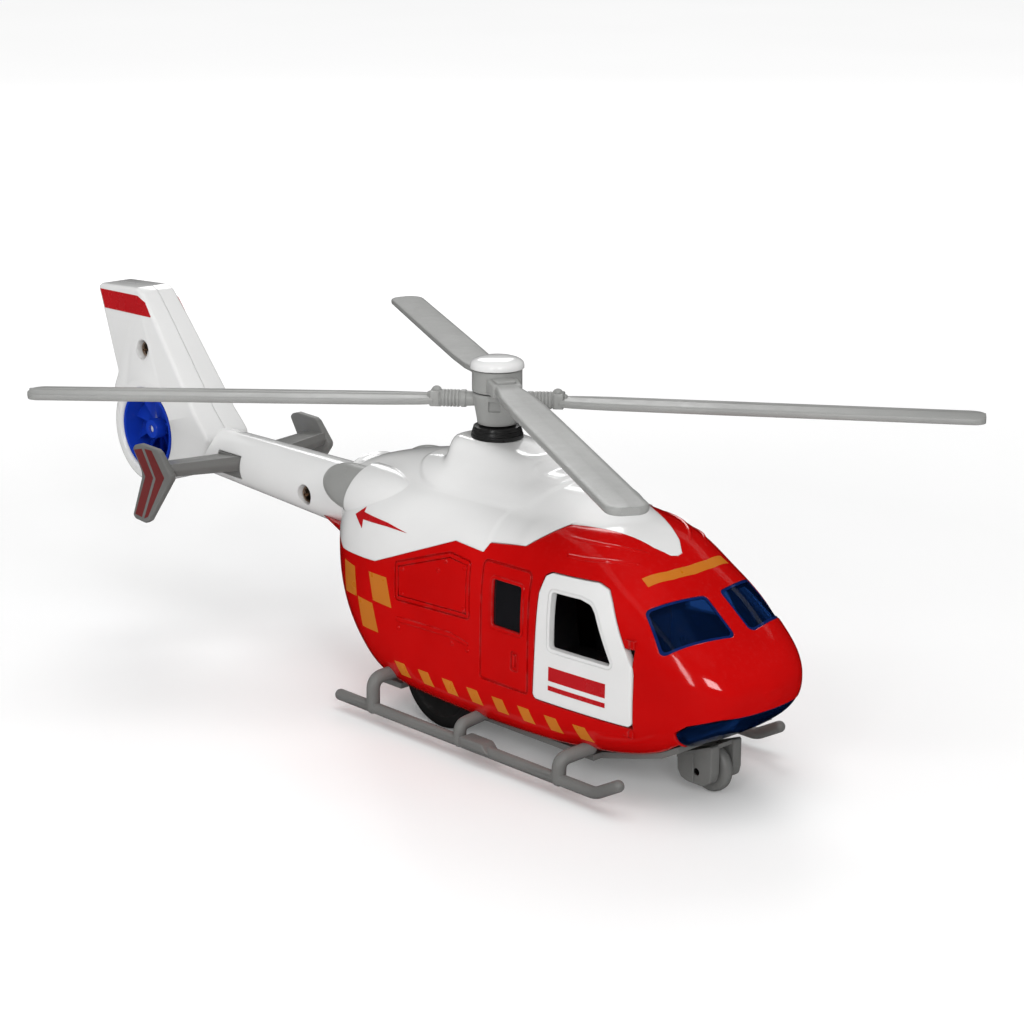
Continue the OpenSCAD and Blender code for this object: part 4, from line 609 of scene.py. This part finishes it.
# stabiliser
stb = [box((-116.6, -7.6, 48.1), (-105.4, 7.6, 54.8), 0.5)]
for s in (-1, 1):
    A = [(-116.5, 48), (-116.9, 53.8), (-106, 54.9), (-105.1, 52.7), (-106, 50.4)]; B = [(-119.5, 50.6), (-119.8, 54.4), (-110.5, 55.4), (-109.8, 53.4), (-110.5, 51.6)]
    stb.append(bevelled(hull([(x, s * 7.0, z) for x, z in A] + [(x, s * 29.3, z) for x, z in B]), 0.45, 3, 20))
PLATE = [(-127.6, 57.8), (-126.4, 58.9), (-124, 59.6), (-115.4, 59.3), (-114, 58.6), (-108.4, 52.6), (-108.5, 51.2), (-120.6, 36.2), (-122.5, 35.2), (-127.8, 35.6), (-128.8, 36.8), (-123, 50.4)]
for s in (-1, 1): stb.append(bevelled(prism(fillet(PLATE, [0.8, 0.8, 0.8, 1, 1, 1, 1, 1, 1, 1, 0.8, 3], 3), *sorted((s * 29.0, s * 31.15))), 0.5, 3, 40))
done(union(stb), "stabiliser_moulding", "grey_dark", "airframe", ang=28, replaces=("stabiliser",))
ch = []
for s in (-1, 1):
    for P_ in ([(-126.6, 57.4), (-122.7, 58.4), (-117.3, 50.3), (-124.0, 36.9), (-127.4, 37.2), (-121.3, 50.1)], [(-121.2, 58.6), (-117.6, 58.7), (-111.6, 51.4), (-120.9, 37.5), (-122.9, 36.6), (-116.0, 50.3)]):
        ch.append(prism(P_, *sorted((s * 31.0, s * 31.2))))
done(union(ch), "print_plate_chevrons", "print_dull_red", "airframe")
# fan: hub, back disc, rim and ten pitched vanes, all one clear moulding
fan = csg(rev([(0.01, 0), (3.2, 0), (3.2, 9.8), (2.9, 10.3), (2.4, 10.4), (0.01, 10.4)], (fx, 4.6, fz), (0, -1, 0), 64), ('+', rev([(0.01, 0), (12.4, 0), (12.5, 0.12), (12.5, 1.1), (12.4, 1.2), (0.01, 1.2)], (fx, 4.6, fz), (0, -1, 0), 96)),
    ('+', revring([(11.7, 0.3), (12.6, 0.3), (12.6, 11.9), (12.45, 12.1), (11.85, 12.1), (11.7, 11.9)], (fx, 4.6, fz), (0, -1, 0), 96)))
for a in range(10):
    an = 2 * pi * a / 10; V = []; F_ = []
    rs = np.linspace(2.6, 11.8, 7)
    for i, r_ in enumerate(rs):
        tw = radians(52 - 24 * (r_ - 2.6) / 9.2); cw_ = 2.1 + 0.27 * r_; sw = 0.10 * (r_ - 2.6) / 9
        for k in range(10):
            ph = 2 * pi * k / 10; cx_, ty = cw_ * cos(ph), 0.42 * sin(ph) + 0.35 * (cos(ph) ** 2)
            t_, h_ = cx_ * cos(tw) - ty * sin(tw), cx_ * sin(tw) + ty * cos(tw); aa = an + sw + t_ / r_
            V.append((fx + r_ * cos(aa), 4.6 - (4.9 + h_), fz + r_ * sin(aa)))
    m_ = 10
    vane = rings_solid([V[i * m_:(i + 1) * m_] for i in range(len(rs))])
    csg(fan, ('+', vane))
csg(fan, ('*', cyl((fx, 4.6, fz), (fx, -7.5, fz), 12.6, n=96)), ('-', cyl((fx, 8, fz), (fx, -8, fz), 1.26, n=32)))
done(fan, "tail_fan_clear", "fan_blue", "fan", replaces=("tail_fan",))

sw = []
for s in (-1, 1): sw.append(csg(prism(inset(WIN, 0.25), *((20, 40) if s > 0 else (-40, -20))), ('*', csg(loft(ST, 0.55, 5, 10, k=8, m=120), ('-', loft(ST, 1.7, 5, 10, k=8, m=120))))))
done(union(sw), "side_window_panes", "smoke_clear", "airframe", fields=(FS,), tol=1.9, replaces=("side_windows",))

# ------------------------------------------------------------------ screws
def screw_piece(name, spots, hr, hh, r_, l, body, rep_):
    L_ = []
    for p_, d_ in spots:
        p_ = np.array(p_, float); u, v, w_ = frame3(d_)
        h_ = rev([(r_, -l), (r_, 0), (hr, 0), (hr, hh * 0.45), (hr * 0.86, hh * 0.8), (hr * 0.55, hh * 0.97), (0.02, hh)], p_, d_, 40)
        for a in (0.35, 0.35 + pi / 2):
            e = cos(a) * u + sin(a) * v; f = -sin(a) * u + cos(a) * v; V = [p_ + e * (i * hr * 0.62) + f * (j * hr * 0.12) + w_ * k for i in (-1, 1) for j in (-1, 1) for k in (hh * 0.42, hh * 1.4)]
            csg(h_, ('-', hull(V)))
        L_.append(h_)
    return done(union(L_), name, "screw_zinc" if name == "tail_screw_heads" else "steel", body, replaces=rep_)
screw_piece("tail_screw_heads", [((-73.3, -6.4, 49.6), (0, -1, 0)), ((-155.2, -4.4, 80.2), (0, -1, 0))], 2.6, 1.5, 0.9, 8, "airframe", ("tail_screws",))
screw_piece("case_screw_heads", [((x, y, 10.2), (0, 0, -1)) for x, y in ((-21, 14), (-21, -14), (50, 16), (50, -16))], 1.9, 1.2, 1.05, 9, "airframe", ("case_screws",))
screw_piece("door_screw_head", [((50, 0, 7.9), (0, 0, -1))], 1.7, 0.7, 0.8, 4.4, "airframe", ("battery_door_screw",))

# ------------------------------------------------------------------ rotor
def blade_solid(r0, r1, P_, z_sec):
    """blade along +x: half width from outline P_ [(x, front, back)], section with a long step and rounded edges"""
    xs_ = np.unique(np.concatenate([np.linspace(r0, r1 - 4, 60), r1 - 4 + 4 * np.sin(np.linspace(0, pi / 2, 10))])); R_ = []
    for x in xs_:
        w1 = np.interp(x, P_[0], P_[1]); tip = 0.0
        if x > r1 - 3.6: t = min((x - (r1 - 3.6)) / 3.6, 0.985); w1 = w1 - 3.6 * (1 - sqrt(1 - t * t))
        q = []
        for yy, zz in z_sec: q.append((x, yy * w1, zz))
        R_.append(q)
    return rings_solid(R_)
def section_pts(t=2.0, step=1.0):
    h = t / 2; k = 0.11; pts = []
    # counter-clockwise in (y fraction, z): flat underside, rounded edges, raised forward half and step at the middle
    low = [(-1 + k, -h), (1 - k, -h)]; e1 = [(1 - k + k * sin(a), -h + (h * 0.9) * (1 - cos(a))) for a in np.linspace(0.25, pi / 2, 4)]; top1 = [(1.0, h * 0.15), (1 - 0.3 * k, h * 0.62), (1 - k, h * 0.80), (1 - 2.6 * k, h * 0.86)]
    top2 = [(0.16, h * 0.90), (0.11, h * (0.92 + 0.04 * step)), (0.06, h * (0.94 + 0.16 * step)), (0.0, h * (0.95 + 0.32 * step)), (-0.06, h * (0.96 + 0.38 * step)), (-0.14, h * (0.97 + 0.36 * step)), (-1 + 2.6 * k, h * 0.94), (-1 + k, h * 0.86), (-1 + 0.3 * k, h * 0.62), (-1.0, h * 0.15)]
    e2 = [(-1 + k - k * sin(a), -h + (h * 0.9) * (1 - cos(a))) for a in np.linspace(pi / 2, 0.25, 4)]
    return low + e1 + top1 + top2 + e2
def place(o, ang, z, droop=0.0):
    o.data.transform(Matrix.Translation((0, 0, z)) @ Matrix.Rotation(radians(ang), 4, 'Z') @ Matrix.Rotation(radians(droop), 4, 'Y')); o.data.update(); return o
LOWP = ([17, 20, 30, 60, 130], [3.1, 4.2, 5.0, 5.25, 5.25]); UPP = ([8, 14, 22, 34, 60, 130], [3.2, 3.5, 4.7, 5.15, 5.25, 5.25])
parts = []
for k, a in enumerate((40, 220)):
    b_ = place(blade_solid(17, 129.6, LOWP, section_pts()), a, 89.2, 0.75)
    KN = [(0.02, 3), (1.8, 3), (1.9, 5.4), (2.05, 7.6), (2.05, 8.2), (2.3, 8.35), (2.4, 8.6), (2.4, 9.5), (2.3, 9.75), (2.1, 9.8), (2.1, 10.15), (2.3, 10.25)]
    for q in range(5): KN += [(2.38, 10.35 + q * 0.95), (2.38, 10.9 + q * 0.95), (2.14, 11.0 + q * 0.95), (2.14, 11.2 + q * 0.95)]
    KN += [(2.38, 15.2), (2.42, 15.4), (2.42, 17.7), (2.3, 17.9), (1.9, 18.1), (1.6, 18.9), (0.02, 18.9)]
    kn = place(rev(KN, (0, 0, 0), (1, 0, 0), 40), a, 89.2)
    # pitch link: ball above the grip, thin rod back to the hub, and the clamp round the blade root
    ball = place(csg(ellip((16.4, 0, 2.2), (1.35, 1.35, 1.1), 24, 12), ('-', cyl((16.4, 0, 2.9), (16.4, 0, 4), 0.55, n=20))), a, 89.2); lk = place(tube([(16.2, 0, 1.9), (11, 0, 1.85), (4.6, 0, 1.5)], 0.42, 14), a, 89.2)
    cl = place(bevelled(prism(fillet([(15.3, -2.7), (18.2, -3.1), (18.2, 3.1), (15.3, 2.7)], 0.7, 4), -1.9, 2.1, 'z'), 0.5, 3, 40), a, 89.2)
    parts += [b_, kn, ball, lk, cl]
hub = rev([(0.02, 82.7), (5.2, 82.7), (5.35, 82.85), (5.55, 84.2), (5.9, 86.2), (6.35, 88.6), (6.7, 90.2), (6.75, 90.9), (6.55, 91.3), (0.02, 91.3)], n=96)
for a in (-50, 130): hub = csg(hub, ('-', place(box((5.6, -1.6, 4.2), (8, 1.6, 7.0)), a, 82.7)))
low = csg(hub, *[('+', p_) for p_ in parts]); csg(low, ('-', cyl((0, 0, 80), (0, 0, 100), 1.5, n=48)))
done(low, "rotor_lower_moulding", "grey_plastic", "rotor", ang=38, replaces=("lower_blades",))
parts = []
for a in (-30, 150):
    parts.append(place(blade_solid(8, 129.6, UPP, section_pts(2.0, 0.0)), a, 94.6, 0.75))
    parts.append(place(bevelled(hull([(x, y, z) for x, hw, z0, z1 in ((3.5, 4.3, -2.3, 1.9), (12.4, 4.1, -2.1, 1.15)) for y in (-hw, hw) for z in (z0, z1)]), 0.55, 3, 25), a, 94.3))
    parts.append(place(bevelled(prism(fillet([(6.5, -3.0), (6.5, 3.0), (10.9, 2.7), (10.9, -2.7)], 0.8, 4), 1.0, 1.95, 'z'), 0.3, 2, 40), a, 94.3))
up = rev([(0.02, 91.6), (6.5, 91.6), (6.8, 91.85), (6.8, 97.3), (6.65, 97.5), (0.02, 97.5)], n=96)
csg(up, *[('+', p_) for p_ in parts]); csg(up, ('-', cyl((0, 0, 80), (0, 0, 100), 1.56, n=48)))
done(up, "rotor_upper_moulding", "grey_plastic", "upper_rotor", ang=38, replaces=("upper_blades",))
cap = rev([(0.02, 97.8), (7.1, 97.8), (7.3, 97.95), (7.3, 98.7), (7.25, 99.05), (7.05, 99.5), (6.6, 99.9), (5.9, 100.3), (4.8, 100.65), (3.4, 100.87), (1.8, 100.97), (0.05, 101.0)], n=96)
done(cap, "rotor_cap_white", "white_gloss", "rotor", replaces=("rotor_cap",))
col_ = revring([(1.56, 68), (4.4, 68), (4.4, 78.7), (7.0, 78.7), (7.1, 78.8), (7.1, 79.75), (7.0, 79.85), (6.75, 79.85), (6.75, 80.05), (6.9, 80.15), (6.72, 81.0), (6.5, 81.05), (6.5, 81.2), (6.62, 81.3), (6.4, 82.0), (6.2, 82.1), (1.56, 82.1)], n=96)
done(col_, "mast_collar_black", "black_plastic", "airframe", replaces=("mast_collar",))

# ------------------------------------------------------------------ skids, wheels, nose leg
for s, nm in ((1, "left"), (-1, "right")):
    y = s * 30.5; z = 4.2
    sk = tube(bend([(-31.5, y, z), (20, y, z), (68.6, y, z), (76.4, y, z + 4.2)], 7, 9), 1.6, 36)
    L_ = []
    for q in ((-17.5, 12.6, 0.6, 22.2, 13), (55.4, 9.6, 2.6, 22, 11.1)):
        L_.append(tube(bend([(q[0], y, z), (q[0] + 0.2, y, q[1]), (q[0] + q[2], s * q[3], q[4])], 3.4, 9), 1.88, 32))
    L_.append(tube(bend([(18, y, z), (18, y, z + 4.5), (18.6, s * 22.0, 9.9)], 2.9, 8), 1.72, 32))
    L_.append(bevelled(prism(fillet([(20, z), (20, z + 2.4), (28.6, z + 2.4), (31, z)], [0, 0.8, 1.2, 0], 4), *sorted((y - 2.35, y + 2.35))), 0.45, 3, 30))
    done(csg(sk, *[('+', o) for o in L_]), f"skid_{nm}_bar", "grey_dark", "airframe", ang=50, replaces=(f"skid_{nm}",))
    # main wheel: rounded tread with fine grooves, dished hub
    pf = [(1.5, -2.4), (3.7, -2.4), (4.0, -2.2), (4.3, -1.6), (10.4, -1.5), (11.2, -1.9), (11.7, -2.35), (12.6, -2.4), (14.0, -2.35), (14.6, -2.05), (14.92, -1.6)]
    tread = []
    for t in (-1.15, -0.4, 0.4, 1.15): tread += [(14.99, t - 0.22), (14.75, t - 0.1), (14.75, t + 0.1), (14.99, t + 0.22)]
    wh = revring(pf + tread + [(a, -b) for a, b in pf[::-1]], (-1.5, s * 18, 15), (0, 1, 0), 128)
    done(wh, f"main_wheel_{nm}_tyre", "tyre_black", "main_wheels", replaces=(f"main_wheel_{nm}",))
pf = [(1.06, -2.05), (3.1, -2.1), (3.4, -1.95), (3.5, -1.6), (5.3, -1.6), (6.0, -1.35), (6.4, -0.8), (6.5, 0)]
done(revring(pf + [(a, -b) for a, b in pf[:-1][::-1]], (80, 0, 6.5), (0, 1, 0), 96), "nose_wheel_moulding", "grey_dark", "nose_wheel_body", ang=40, replaces=("nose_wheel",))
LEG = fillet([(73.4, 5.6), (74.4, 3.8), (76.6, 3), (82, 3), (84.4, 4.4), (85, 6.8), (85, 14.4), (73.2, 9.8)], [1, 1.6, 2, 2, 1.6, 1.4, 0.4, 0.4], 4)
br = []
for s in (-1, 1):
    g = bevelled(prism(LEG, *sorted((s * 2.6, s * 5.8))), 0.9, 4, 35)
    csg(g, ('-', prism([(78.9, 2), (79.4, 2), (79.4, 12), (78.9, 12)], *sorted((s * 5.55, s * 7)))))
    br.append(g)
br.append(prism([(73.2, 9.9), (73.2, 8.7), (84.4, 13.1), (84.4, 14.3)], -5.8, 5.8))
br = union(br); csg(br, ('-', cyl((80, 10, 6.5), (80, -10, 6.5), 1.0, n=32)), ('-', cyl((80, 2.55, 6.5), (80, -2.55, 6.5), 7.1, n=64)))
done(br, "nose_leg_moulding", "grey_dark", "airframe", ang=35, replaces=("nose_gear_bracket",))

# ------------------------------------------------------------------ cabin inside: seats with rolled edges, dash with screens and a yoke
ins_ = [box((22, -19.4, 22.6), (80, 19.4, 24.0), 0.3), box((22, -19.4, 23.9), (23.6, 19.4, 54), 0.3)]
for s in (-1, 1):
    y = s * 9.5
    ins_.append(box((36.2, y - 5.8, 23.8), (49.2, y + 5.8, 29.9), 1.4, 4))
    bk = box((0, -5.6, 0), (3.6, 5.6, 23), 1.3, 4); bk.data.transform(Matrix.Translation((34, y, 23)) @ Matrix.Rotation(radians(-8), 4, 'Y')); ins_.append(bk)
    hd = box((0, -3.2, 21), (3.2, 3.2, 26), 1.2, 4); hd.data.transform(Matrix.Translation((34, y, 23)) @ Matrix.Rotation(radians(-8), 4, 'Y')); ins_.append(hd)
    ins_.append(tube([(62.5, y, 23.5), (61.8, y, 30), (60.2, y, 33.2)], [0.7, 0.6, 0.9], 12))
ins_.append(bevelled(prism(fillet([(68, 23.9), (68, 30), (70.5, 34.9), (75, 34.9), (75, 23.9)], [0, 1, 1, 1, 0], 4), -15, 15), 0.6, 3, 35))
li = union(ins_)
for y in (-9, -2, 5): csg(li, ('-', hull([(67.2, y + a, z) for a in (0, 4.6) for z in (30.6, 33.6)] + [(70.0, y + a, z) for a in (0, 4.6) for z in (30.6, 33.6)])))
done(li, "cabin_interior", "liner", "airframe", ang=40, replaces=("cabin_liner",))

# ------------------------------------------------------------------ CAD pieces that keep their shape
KEEP = {"belly_plate": "grey_dark", "battery_door": "grey_dark", "nose_axle": "steel", "circuit_board": "board_green", "switch": "black_plastic", "speaker": "black_plastic", "battery_cells": "steel",
    "battery_contacts": "steel", "button_spring": "steel", "hinge_lugs": "red_gloss", "rotor_shaft": "steel", "shaft_clip": "steel", "rotor_screw": "steel", "main_axle": "steel"}
for n_, m_ in KEEP.items():
    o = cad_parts[n_]; o.data.materials.append(MAT[m_])
